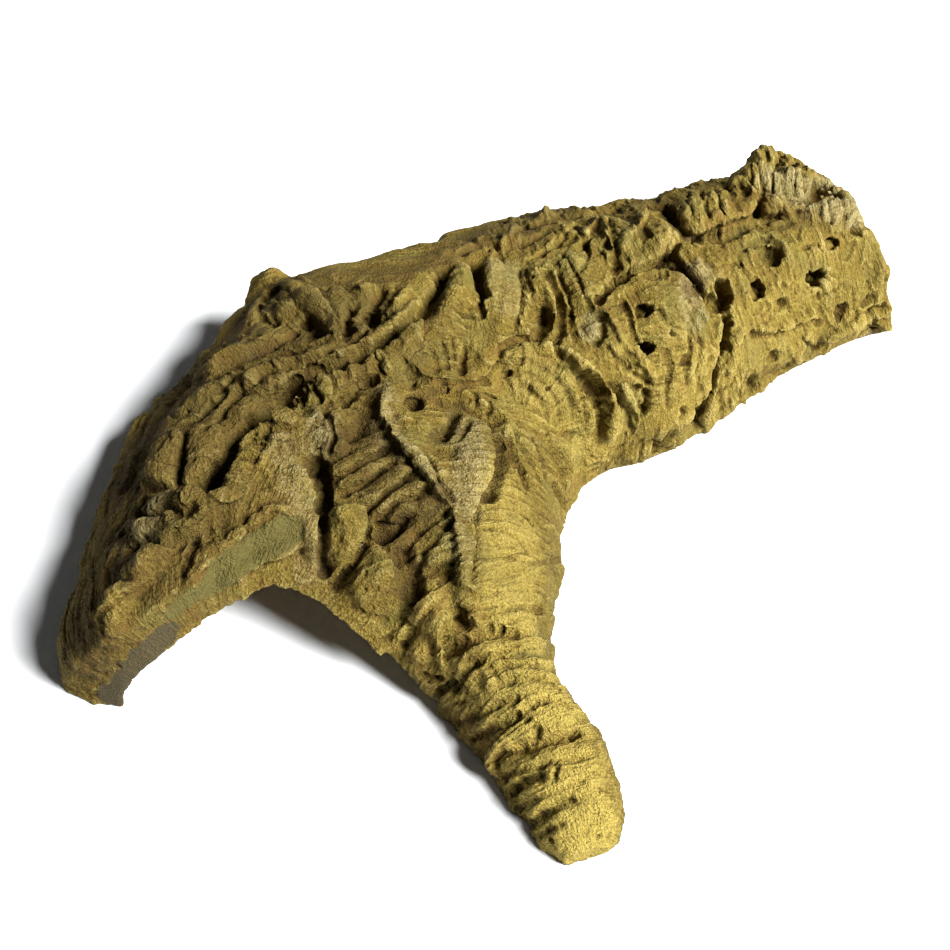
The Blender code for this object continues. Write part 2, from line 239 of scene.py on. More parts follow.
def listed(kind: type, *rows: tuple) -> tuple:
    """Marks, patches or grains from rows of values, each of which ends in the pixels of its path.

    Args:
        kind: Mark, Patch or Grain.
        rows: The values of each in order, then its pixels, each of which is a column and a row.

    Returns:
        One object for each row.
    """
    made = []
    for row in rows:
        values = [value for value in row if not isinstance(value, tuple)]
        made.append(kind(*values, tuple(row[len(values):])))
    return tuple(made)


FAR_CORNER = listed(
    Mark,
    (LUMP, 3, 9, (272, 276)),
    (STEP, 4, 9, (335, 348), (343, 334), (338, 322), (325, 308), (313, 297), (299, 290)),
    (PIT, 4, 4, (308, 322)),
    (PIT, 4.5, 4.6, (370, 316)),
    (FURROW, 4.5, 5, (352, 300), (348, 315), (346, 332)),
    (FURROW, 3, 4, (385, 285), (376, 300), (368, 315), (374, 326)),
    (RIDGE, 3, 5, (408, 285), (402, 300), (390, 315)),
    (CREASE, 3, 3, (330, 338), (300, 346), (262, 360), (235, 375), (212, 395)),
    (CREASE, 3, 3, (372, 332), (345, 346), (318, 358), (300, 366), (270, 373), (250, 386), (225, 402)),
    (CREASE, 2.5, 2.6, (300, 330), (275, 342), (250, 352), (222, 368)),
    (RIDGE, 3, 4.5, (419, 302), (398, 320), (372, 338), (343, 352), (318, 361), (294, 372), (262, 390)),
    (RIDGE, 2.5, 5, (330, 352), (300, 357), (262, 369), (240, 392)),
    (RIDGE, 2.5, 5, (270, 336), (240, 350), (212, 370)),
    (STEP, 2.5, 6, (250, 330), (262, 300), (282, 288), (300, 296)),
    (LUMP, 2.5, 6, (285, 310)),
    (LUMP, 2.5, 6, (365, 290)),
    (FURROW, 3, 5, (245, 325), (262, 318), (280, 326)),
)
MAIN_FURROW = listed(
    Mark,
    (FURROW, 4, 5.5, (452, 268), (440, 287), (425, 305), (410, 325), (398, 338), (375, 352), (350, 362)),
    (FURROW, 4.5, 6, (350, 362), (325, 370), (300, 378), (290, 390), (275, 405), (262, 418), (250, 428)),
    (FURROW, 5.5, 8, (262, 400), (275, 402), (284, 396)),
    (FURROW, 5, 7, (250, 428), (240, 442), (235, 455), (225, 470), (212, 485), (203, 492)),
    (FURROW, 5, 8, (238, 462), (222, 476), (208, 486)),
    (CREASE, 2.5, 3, (248, 378), (232, 398), (218, 418), (205, 440)),
)
CREST = listed(
    Mark,
    (RIDGE, 3.5, 8, (430, 322), (400, 346), (370, 364), (338, 376), (312, 390), (292, 404)),
    (STEP, 3, 6, (300, 420), (284, 412), (281, 400), (292, 388)),
    (FURROW, 4.6, 4, (378, 378), (352, 394), (334, 406), (316, 416)),
    (RIDGE, 3, 6, (300, 416), (276, 426), (252, 440), (240, 464), (228, 490)),
    (RIDGE, 3, 6, (228, 490), (206, 510), (190, 525), (166, 545), (132, 590), (112, 632)),
    (CREASE, 2.6, 2, (298, 384), (302, 396), (304, 412)),
    (CREASE, 2.6, 2, (312, 380), (318, 392), (320, 406)),
    (CREASE, 2.4, 2, (326, 374), (332, 386), (334, 400)),
    (CREASE, 2.2, 2, (342, 368), (348, 380), (349, 392)),
    (CREASE, 2, 2, (358, 362), (364, 374), (364, 384)),
    (CREASE, 1.8, 2, (374, 356), (382, 368), (384, 380)),
    (LUMP, 2.4, 4.4, (290, 404)),
    (LUMP, 2.4, 4.2, (311, 400)),
    (LUMP, 2.2, 4.2, (326, 394)),
    (LUMP, 2, 4.2, (341, 386)),
    (STEP, 3.2, 6, (306, 452), (302, 436), (312, 424), (326, 414), (334, 424), (337, 440), (330, 458)),
    (FURROW, 6, 8.5, (346, 446), (348, 432), (360, 426), (374, 424)),
    (LUMP, 2.5, 6, (276, 440)),
    (LUMP, 2.5, 5, (252, 452)),
    (STEP, 2.2, 5, (262, 470), (276, 446), (296, 440)),
)
FLANK = listed(
    Mark,
    (LUMP, 4.6, 12, (170, 444), (163, 462), (160, 476)),
    (LUMP, 4.4, 11, (204, 438), (203, 458), (198, 474)),
    (FURROW, 4, 3.6, (190, 436), (184, 452), (182, 470), (178, 486)),
    (LUMP, 4, 10, (186, 502), (164, 504)),
    (LUMP, 3.6, 10, (150, 532), (172, 524)),
    (LUMP, 3, 9, (132, 572), (150, 556)),
    (LUMP, 3, 8, (110, 618), (122, 600)),
    (FURROW, 4.4, 4, (146, 486), (168, 490), (190, 486), (206, 478)),
    (FURROW, 3.4, 3.6, (134, 514), (158, 516), (182, 514), (200, 504)),
    (FURROW, 3, 3.4, (122, 552), (142, 544), (164, 546), (184, 534)),
    (FURROW, 3, 3.2, (106, 596), (122, 584), (144, 580), (160, 566)),
    (STEP, 3, 9, (98, 640), (104, 622), (122, 604), (150, 580), (172, 560)),
    (CREASE, 2.2, 2.6, (214, 500), (208, 520), (210, 540)),
    (CREASE, 2.2, 2.6, (226, 492), (222, 512), (224, 530)),
    (CREASE, 2.2, 2.6, (176, 548), (190, 538), (196, 552)),
    (LUMP, 3, 9, (186, 408), (206, 392)),
    (LUMP, 3, 9, (216, 372), (232, 352)),
    (FURROW, 3, 3.4, (176, 428), (196, 418), (214, 402), (226, 388)),
)
MOUTH_SIDE = listed(
    Mark,
    (FURROW, 5, 6, (312, 458), (322, 476), (324, 496), (324, 516)),
    (FURROW, 4.4, 3.6, (322, 510), (323, 530), (323, 556), (325, 580)),
    (STEP, 3, 6, (316, 568), (316, 540), (312, 505), (304, 480), (296, 462)),
    (STEP, 3.4, 10, (336, 582), (352, 558), (364, 534), (364, 516), (352, 508), (336, 512), (327, 524)),
    (LUMP, 2.4, 9, (346, 528), (336, 550)),
    (FURROW, 3, 3.4, (370, 524), (364, 540), (352, 560), (340, 578), (332, 592)),
    (STEP, 3, 9, (390, 604), (391, 576), (386, 554), (372, 546), (358, 556)),
    (LUMP, 2.6, 11, (370, 572), (360, 590)),
    (STEP, 3.2, 6, (218, 590), (240, 573), (262, 562), (280, 556), (302, 547)),
    (CREASE, 3, 2.4, (258, 565), (280, 559), (304, 549)),
    (STEP, 2.4, 5, (182, 588), (200, 572), (222, 555), (242, 537), (258, 522), (275, 511), (292, 517)),
    (CREASE, 2.4, 2, (200, 574), (222, 557), (242, 539), (258, 524), (275, 513), (290, 518)),
    (FURROW, 6.5, 4.6, (376, 541), (388, 531), (400, 522), (412, 513)),
    (FURROW, 4, 6, (402, 540), (406, 560), (412, 582), (416, 604)),
    (CREASE, 3, 2.6, (396, 548), (402, 575), (406, 600)),
    (CREASE, 2, 2.4, (350, 605), (368, 616), (388, 622)),
    (LUMP, 2.5, 4, (356, 496)),
    (CREASE, 1.8, 2.2, (240, 514), (246, 526), (244, 540)),
    (CREASE, 1.8, 2.2, (256, 506), (262, 520), (260, 532)),
)
BANDS = listed(
    Mark,
    (STEP, 3.2, 7, (330, 478), (352, 466), (370, 456), (388, 444)),
    (STEP, 3.4, 7, (336, 492), (358, 482), (376, 470), (394, 462)),
    (STEP, 3.8, 7.5, (358, 512), (374, 500), (390, 487), (404, 475), (416, 466)),
    (STEP, 3.4, 7, (372, 519), (386, 507), (400, 498), (416, 493), (430, 481)),
    (STEP, 4, 7, (380, 530), (394, 521), (406, 513), (420, 503)),
    (STEP, 3, 6, (410, 528), (424, 516), (440, 502)),
    (STEP, 3.2, 6, (416, 542), (432, 531), (452, 521)),
    (CREASE, 3, 2.4, (332, 482), (354, 470), (372, 460), (390, 448)),
    (CREASE, 3, 2.4, (340, 495), (362, 485), (380, 473), (398, 466)),
    (CREASE, 3.2, 2.4, (362, 515), (378, 503), (394, 491), (408, 479)),
    (CREASE, 3, 2.4, (376, 522), (390, 511), (404, 502), (420, 496)),
    (CREASE, 2.8, 2.4, (404, 556), (414, 538), (430, 524), (450, 512)),
    (CREASE, 2.4, 2.6, (414, 580), (424, 556), (438, 538), (456, 524)),
    (LUMP, 2.4, 8, (443, 538), (438, 556)),
    (LUMP, 2.4, 9, (432, 590), (436, 612)),
    (PIT, 1.6, 2.2, (356, 497)),
)
LICHEN_RIDGE = listed(
    Mark,
    (RIDGE, 3.2, 4, (384, 392), (386, 420), (396, 438), (410, 450), (424, 468), (438, 492), (450, 508)),
    (RIDGE, 3, 4.4, (450, 508), (458, 532), (462, 560), (466, 590)),
    (STEP, 1.6, 5, (388, 424), (400, 445), (424, 473), (438, 493), (450, 512), (458, 540)),
    (STEP, 3.6, 17, (468, 530), (476, 506), (486, 482), (489, 456), (484, 432), (472, 419), (458, 420)),
    (STEP, 2, 8, (466, 586), (472, 556), (474, 530)),
    (FURROW, 4, 5, (496, 432), (502, 450), (499, 475), (488, 500)),
    (FURROW, 4.4, 2.8, (420, 448), (430, 462), (438, 478), (446, 494), (453, 506)),
    (FURROW, 5.6, 4, (436, 437), (446, 432), (453, 422), (460, 408)),
    (FURROW, 3.4, 5, (408, 408), (416, 402), (424, 396)),
    (LUMP, 2.2, 6, (424, 428)),
    (LUMP, 2, 5, (404, 420)),
    (RIDGE, 3.4, 6, (440, 386), (462, 394), (484, 404), (500, 416), (506, 428), (496, 436)),
    (CREASE, 2.4, 2.2, (436, 398), (458, 406), (478, 416), (492, 428)),
    (CREASE, 2.4, 1.8, (466, 392), (474, 400), (476, 410)),
    (CREASE, 2.4, 1.8, (482, 398), (488, 408), (487, 420)),
    (CREASE, 2.4, 2.2, (500, 438), (516, 458), (528, 478)),
    (CREASE, 2.4, 2.4, (512, 430), (530, 456), (546, 486)),
    (STEP, 3, 7, (570, 482), (566, 462), (556, 440), (542, 430)),
    (FURROW, 3, 3, (556, 482), (560, 496), (568, 510)),
    (CREASE, 1.5, 2, (476, 528), (500, 530), (520, 540), (530, 556)),
    (CREASE, 1.5, 2, (470, 562), (500, 556), (530, 562), (562, 560)),
    (CREASE, 1.6, 2, (480, 508), (500, 505), (522, 512), (536, 526)),
    (CREASE, 2.6, 2.2, (478, 500), (478, 530), (476, 560), (472, 586)),
)
FAN = listed(
    Mark,
    (RIDGE, 3.5, 9, (464, 268), (460, 282), (452, 300), (446, 318)),
    (FURROW, 5, 5, (471, 262), (478, 276), (484, 292), (486, 304)),
    (CREASE, 2, 2, (440, 338), (445, 352), (448, 370)),
    (CREASE, 1.6, 1.8, (450, 334), (454, 352), (456, 372)),
    (FURROW, 3, 2.6, (466, 342), (464, 358), (459, 376)),
    (CREASE, 1.4, 1.8, (430, 346), (436, 360), (436, 374)),
    (STEP, 2.8, 9, (398, 354), (410, 364), (424, 379), (452, 382), (480, 380), (492, 366), (500, 352)),
    (FURROW, 3, 3.5, (404, 366), (412, 378), (414, 390)),
    (CREASE, 1.8, 2.2, (452, 392), (470, 386), (492, 380)),
    (STEP, 2, 6, (416, 394), (432, 388), (458, 390), (480, 392), (500, 402)),
)
PLATES = listed(
    Mark,
    (STEP, 3, 7, (489, 262), (488, 280), (486, 300), (484, 322)),
    (FURROW, 2.4, 2.6, (518, 268), (523, 286), (523, 304), (520, 322), (523, 340)),
    (FURROW, 4.4, 4.2, (538, 304), (545, 320), (540, 334), (528, 344)),
    (STEP, 2.4, 5, (526, 266), (532, 288), (536, 304)),
    (RIDGE, 2.2, 2.8, (532, 272), (543, 290), (551, 308), (554, 336)),
    (FURROW, 4.2, 4.4, (543, 268), (552, 288), (558, 306), (560, 322), (559, 342)),
    (STEP, 3.2, 7, (574, 350), (567, 330), (567, 308), (564, 294), (554, 276), (546, 258)),
    (CREASE, 2.4, 2, (566, 256), (578, 280), (586, 300), (592, 312)),
    (CREASE, 2.4, 2, (574, 226), (584, 240), (588, 256), (580, 272)),
    (CREASE, 2.4, 2, (560, 262), (566, 248), (580, 250), (590, 236)),
    (LUMP, 1.8, 5, (592, 330)),
    (FURROW, 3, 2.6, (597, 308), (603, 322), (601, 338), (590, 346)),
    (STEP, 4, 9, (622, 276), (640, 272), (653, 266), (658, 252), (664, 240), (662, 226)),
    (FURROW, 5, 4.6, (650, 266), (664, 260), (674, 250), (684, 240), (704, 240)),
    (RIDGE, 3, 5, (670, 240), (686, 254), (698, 270), (706, 288), (710, 308)),
    (STEP, 3.4, 9, (662, 248), (678, 258), (690, 272), (700, 290), (704, 310)),
    (LUMP, 3.2, 13, (690, 208), (712, 204), (732, 198)),
    (STEP, 3.4, 8, (676, 226), (700, 230), (724, 224), (748, 216), (754, 200), (744, 188)),
    (CREASE, 2.4, 1.8, (688, 192), (690, 206), (694, 222)),
    (CREASE, 2.4, 1.8, (700, 190), (703, 206), (708, 222)),
    (CREASE, 2.4, 1.8, (713, 188), (717, 204), (722, 220)),
    (CREASE, 2.4, 1.8, (726, 186), (731, 200), (736, 216)),
    (CREASE, 2, 1.6, (738, 184), (743, 198), (746, 212)),
    (FURROW, 4, 4, (676, 232), (694, 236), (716, 236), (738, 230), (752, 224)),
    (FURROW, 4, 3.4, (664, 204), (672, 214), (680, 228)),
    (STEP, 2.4, 5, (560, 250), (578, 246), (590, 232), (600, 218)),
    (STEP, 2.4, 5, (604, 262), (614, 250), (610, 232), (604, 220)),
    (STEP, 2.6, 5, (618, 284), (630, 262), (628, 244), (640, 228), (648, 214)),
    (CREASE, 2, 2.4, (534, 256), (552, 246), (566, 234), (578, 222)),
    (FURROW, 3.6, 4, (444, 252), (462, 250), (484, 244), (506, 246), (528, 240), (550, 228)),
    (LUMP, 3, 5, (512, 222)),
    (LUMP, 2.6, 5, (544, 218)),
    (STEP, 2.4, 5, (500, 250), (516, 232), (536, 226), (556, 216)),
    (CREASE, 2, 2.2, (604, 240), (612, 256), (616, 272), (614, 290)),
)
SHELL = listed(
    Mark,
    (STEP, 3, 8, (562, 362), (548, 352), (534, 348), (518, 346), (504, 353), (497, 368)),
    (FURROW, 3, 2.6, (496, 352), (506, 345), (522, 339), (540, 342), (556, 350)),
    (STEP, 2.6, 8, (592, 436), (594, 420), (588, 398), (576, 380), (558, 364)),
    (CREASE, 1.8, 1.8, (599, 434), (600, 416), (593, 394), (580, 376)),
    (RIDGE, 3.4, 3.6, (536, 350), (566, 354), (584, 366), (599, 380), (608, 396), (611, 416), (607, 440)),
    (STEP, 2.4, 4, (614, 436), (618, 412), (609, 390), (594, 372), (576, 358)),
    (CREASE, 2.4, 2, (620, 424), (621, 406), (614, 394)),
    (RIDGE, 2.4, 3, (614, 384), (625, 397), (633, 411), (634, 436)),
    (STEP, 2.2, 4, (638, 430), (638, 410), (628, 392), (614, 376)),
    (FURROW, 3, 2.8, (643, 386), (647, 398), (646, 414)),
    (CREASE, 2.4, 2.4, (516, 382), (528, 387), (538, 400)),
    (FURROW, 3.4, 4.4, (504, 371), (511, 376)),
    (CREASE, 1.5, 1.5, (520, 360), (540, 366), (558, 380), (570, 398), (574, 420)),
    (CREASE, 1.5, 1.5, (518, 370), (534, 375), (548, 388), (558, 404), (562, 424)),
    (CREASE, 1.4, 1.4, (524, 386), (538, 398), (546, 412), (550, 430)),
    (CREASE, 1.5, 1.5, (530, 355), (550, 361), (568, 376), (580, 396), (584, 422)),
    (CREASE, 1.4, 2, (540, 424), (556, 432), (580, 436), (602, 434)),
    (STEP, 2.6, 8, (570, 474), (566, 450), (556, 430)),
    (CREASE, 2.4, 2.4, (506, 432), (514, 450), (524, 470), (530, 490)),
    (CREASE, 2.2, 2.2, (530, 436), (542, 456), (548, 480)),
)
RIGHT_TRUNK = listed(
    Mark,
    (LUMP, 3, 26, (668, 312), (672, 362)),
    (FURROW, 3.4, 3, (596, 300), (616, 282), (638, 270), (662, 267), (688, 280), (704, 304)),
    (STEP, 3, 8, (703, 334), (700, 310), (686, 288), (662, 274), (640, 277), (618, 289), (597, 308)),
    (PIT, 5.4, 3.9, (646, 312)),
    (PIT, 5.4, 3.7, (646, 349)),
    (PIT, 3, 2.2, (668, 334)),
    (STEP, 2.4, 5, (600, 308), (612, 326), (624, 346), (640, 366), (654, 386)),
    (CREASE, 2.4, 2, (606, 344), (618, 362), (634, 374), (650, 384)),
    (CREASE, 2.4, 2, (622, 300), (630, 318), (632, 334), (642, 352)),
    (CREASE, 2.4, 2.2, (656, 310), (664, 324), (676, 330)),
    (PIT, 7, 5.8, (722, 288), (722, 300)),
    (FURROW, 6, 3.6, (728, 310), (724, 334), (718, 352), (713, 366)),
    (FURROW, 6, 4, (713, 360), (712, 376), (710, 392), (706, 404), (697, 420)),
    (STEP, 3, 7, (706, 400), (706, 376), (712, 350), (720, 322), (708, 314)),
    (CREASE, 2.6, 2.4, (684, 334), (688, 350), (682, 366), (684, 384)),
    (CREASE, 2.4, 2.2, (700, 336), (698, 356), (690, 374)),
    (CREASE, 2.4, 2.2, (662, 350), (668, 368), (664, 390), (668, 410)),
    (PIT, 3, 3, (636, 388)),
    (PIT, 3, 3, (643, 412)),
    (FURROW, 3, 3.4, (682, 404), (684, 414), (678, 424)),
    (CREASE, 2.2, 2.2, (668, 430), (664, 444), (668, 450)),
    (CREASE, 2, 2.2, (642, 440), (640, 452), (632, 464)),
    (CREASE, 2, 2.2, (718, 398), (732, 386), (736, 374)),
    (CREASE, 1.8, 2.2, (750, 380), (756, 392)),
    (STEP, 2.2, 5, (722, 380), (736, 362), (738, 344), (748, 330)),
)
RIGHT_END = listed(
    Mark,
    (LUMP, 3.8, 13, (758, 172), (786, 176), (804, 180)),
    (LUMP, 3.4, 12, (816, 206), (846, 210)),
    (CREASE, 2.4, 1.6, (756, 156), (758, 176), (764, 194)),
    (CREASE, 2.4, 1.6, (766, 156), (769, 176), (775, 196)),
    (CREASE, 2.4, 1.6, (776, 158), (780, 178), (786, 196)),
    (CREASE, 2.4, 1.6, (788, 164), (791, 180), (796, 196)),
    (CREASE, 2.2, 1.6, (798, 168), (801, 182), (806, 194)),
    (CREASE, 2.2, 1.6, (822, 198), (826, 212), (832, 226)),
    (CREASE, 2.2, 1.6, (836, 196), (840, 210), (846, 222)),
    (PIT, 6, 4.3, (815, 281), (820, 276)),
    (PIT, 3.4, 4.6, (767, 251), (774, 256)),
    (PIT, 3, 2.4, (737, 264)),
    (PIT, 5.4, 3.8, (758, 290)),
    (PIT, 3, 3.4, (785, 303)),
    (CREASE, 2.4, 2, (776, 302), (786, 304), (794, 312)),
    (PIT, 4.4, 3.4, (832, 244)),
    (FURROW, 3.4, 2.6, (836, 322), (842, 312), (850, 306)),
    (FURROW, 2.6, 2.4, (750, 334), (762, 335), (774, 334)),
    (PIT, 3, 3.4, (775, 358)),
    (PIT, 3.4, 4, (802, 354)),
    (FURROW, 4.4, 3.6, (752, 198), (758, 212), (768, 218), (786, 214)),
    (STEP, 3, 7, (744, 216), (752, 208), (752, 196), (744, 184), (730, 178)),
    (FURROW, 4.4, 4, (796, 202), (812, 198), (836, 196)),
    (STEP, 3, 6, (788, 214), (802, 206), (820, 202), (842, 196)),
    (STEP, 2.4, 6, (796, 160), (784, 158), (770, 166), (752, 174), (738, 180)),
    (CREASE, 2, 2, (778, 246), (768, 240), (752, 246)),
    (CREASE, 2.2, 2.2, (800, 326), (812, 322), (824, 324)),
    (STEP, 3, 5, (800, 330), (815, 346), (830, 338), (850, 330), (864, 318)),
    (STEP, 2.6, 5, (756, 336), (784, 330), (806, 320), (822, 306)),
    (CREASE, 2, 2, (850, 226), (862, 236), (872, 250)),
    (CREASE, 2, 2, (880, 290), (872, 300), (862, 306)),
    (CREASE, 2.2, 2.2, (874, 312), (876, 324), (872, 334)),
    (LUMP, 2, 4, (884, 326)),
    (CREASE, 2.2, 2, (812, 300), (830, 292), (846, 284)),
    (CREASE, 1.8, 2, (840, 222), (848, 214), (858, 210)),
    (CREASE, 2.2, 1.8, (742, 250), (756, 240), (772, 236)),
    (CREASE, 2.2, 1.8, (800, 250), (816, 246), (826, 256)),
)
OUTLINE = listed(
    Mark,
    (LUMP, 3.4, 9, (762, 156)),
    (FURROW, 5, 5, (786, 150), (778, 164), (770, 178)),
    (LUMP, 2.4, 7, (798, 172)),
    (FURROW, 5, 5, (824, 182), (814, 196), (800, 206)),
    (LUMP, 3, 8, (846, 202)),
    (FURROW, 4, 4.5, (884, 226), (866, 226), (850, 232)),
    (LUMP, 2.6, 8, (884, 272)),
    (FURROW, 4.4, 4.5, (890, 308), (874, 312), (862, 318)),
    (LUMP, 2, 5, (880, 328)),
    (FURROW, 4.4, 5, (826, 372), (822, 356), (818, 340)),
    (FURROW, 3.4, 4.5, (784, 398), (780, 384), (776, 372)),
    (FURROW, 3.6, 4.5, (758, 408), (755, 392), (750, 378)),
    (FURROW, 4.4, 5, (706, 442), (699, 426), (695, 410)),
    (FURROW, 4.4, 5, (664, 470), (658, 452), (654, 438)),
    (LUMP, 2.6, 7, (634, 458)),
    (LUMP, 2.6, 7, (680, 438)),
    (LUMP, 2.4, 7, (730, 404)),
    (LUMP, 2.4, 7, (798, 358)),
)
BRANCH_FORMS = listed(
    Mark,
    (STEP, 3.2, 6, (452, 606), (466, 604), (472, 616), (470, 630)),
    (FURROW, 2, 3, (454, 614), (462, 622), (468, 632)),
    (RIDGE, 2.6, 4, (476, 606), (477, 618), (476, 630)),
    (STEP, 3.4, 6, (444, 668), (444, 648), (442, 628), (448, 606)),
    (FURROW, 3.6, 3.2, (446, 652), (460, 644), (478, 636), (500, 632), (522, 634)),
    (STEP, 2.8, 6, (548, 640), (524, 640), (500, 642), (480, 646), (462, 654), (446, 662)),
    (FURROW, 3.4, 3, (432, 700), (444, 690), (458, 684), (470, 672), (480, 664)),
    (CREASE, 3, 2.6, (418, 674), (430, 682), (446, 680)),
    (STEP, 3, 6, (500, 692), (492, 676), (484, 668), (474, 680), (468, 694)),
    (CREASE, 2.8, 2.4, (470, 722), (484, 712), (502, 702), (520, 696)),
    (FURROW, 3, 3.2, (466, 744), (482, 734), (502, 722), (520, 718), (532, 724)),
    (FURROW, 3, 3, (532, 722), (538, 732), (530, 740), (512, 746)),
    (FURROW, 3.6, 3, (500, 752), (514, 748), (530, 744), (548, 740), (564, 736), (580, 734)),
    (PIT, 2.6, 2.2, (577, 733)),
    (STEP, 3.6, 7, (500, 780), (496, 766), (499, 752), (516, 748), (540, 744)),
    (CREASE, 2.6, 2, (558, 764), (556, 772), (553, 780)),
    (FURROW, 3.4, 3, (510, 794), (520, 784), (532, 778), (546, 776)),
    (CREASE, 2.6, 2.6, (500, 780), (520, 770), (545, 764), (570, 758), (590, 758)),
    (CREASE, 2.8, 2.6, (528, 826), (546, 814), (562, 804), (578, 800)),
    (CREASE, 2.4, 2.4, (514, 812), (532, 802), (552, 792), (574, 784), (588, 782)),
    (CREASE, 2.2, 2.4, (536, 838), (552, 828), (566, 822)),
    (CREASE, 2.4, 2.4, (464, 588), (478, 596), (500, 590)),
    (CREASE, 1.8, 2.2, (500, 608), (520, 606), (546, 610)),
    (CREASE, 2, 2.2, (478, 660), (500, 654), (528, 652), (552, 656)),
    (CREASE, 2, 2.2, (500, 668), (520, 664), (545, 666), (560, 672)),
    (CREASE, 2, 2.2, (505, 684), (528, 678), (550, 680), (564, 690)),
    (CREASE, 2, 2.2, (520, 706), (542, 700), (560, 700), (572, 708)),
    (CREASE, 1.8, 2.2, (442, 712), (454, 704), (466, 700)),
    (CREASE, 2, 2.2, (452, 730), (466, 720), (480, 706)),
    (STEP, 2.4, 6, (410, 640), (416, 622), (430, 606), (446, 596)),
    (LUMP, 2.4, 6, (422, 656)),
    (LUMP, 2.4, 6, (398, 630)),
    (CREASE, 2.6, 2.6, (400, 650), (410, 636), (410, 616)),
    (PIT, 1.8, 2, (550, 842)),
    (PIT, 1.8, 2, (600, 838)),
)
MARKS = (
    FAR_CORNER + MAIN_FURROW + CREST + FLANK + MOUTH_SIDE + BANDS + LICHEN_RIDGE
    + FAN + PLATES + SHELL + RIGHT_TRUNK + RIGHT_END + OUTLINE + BRANCH_FORMS
)

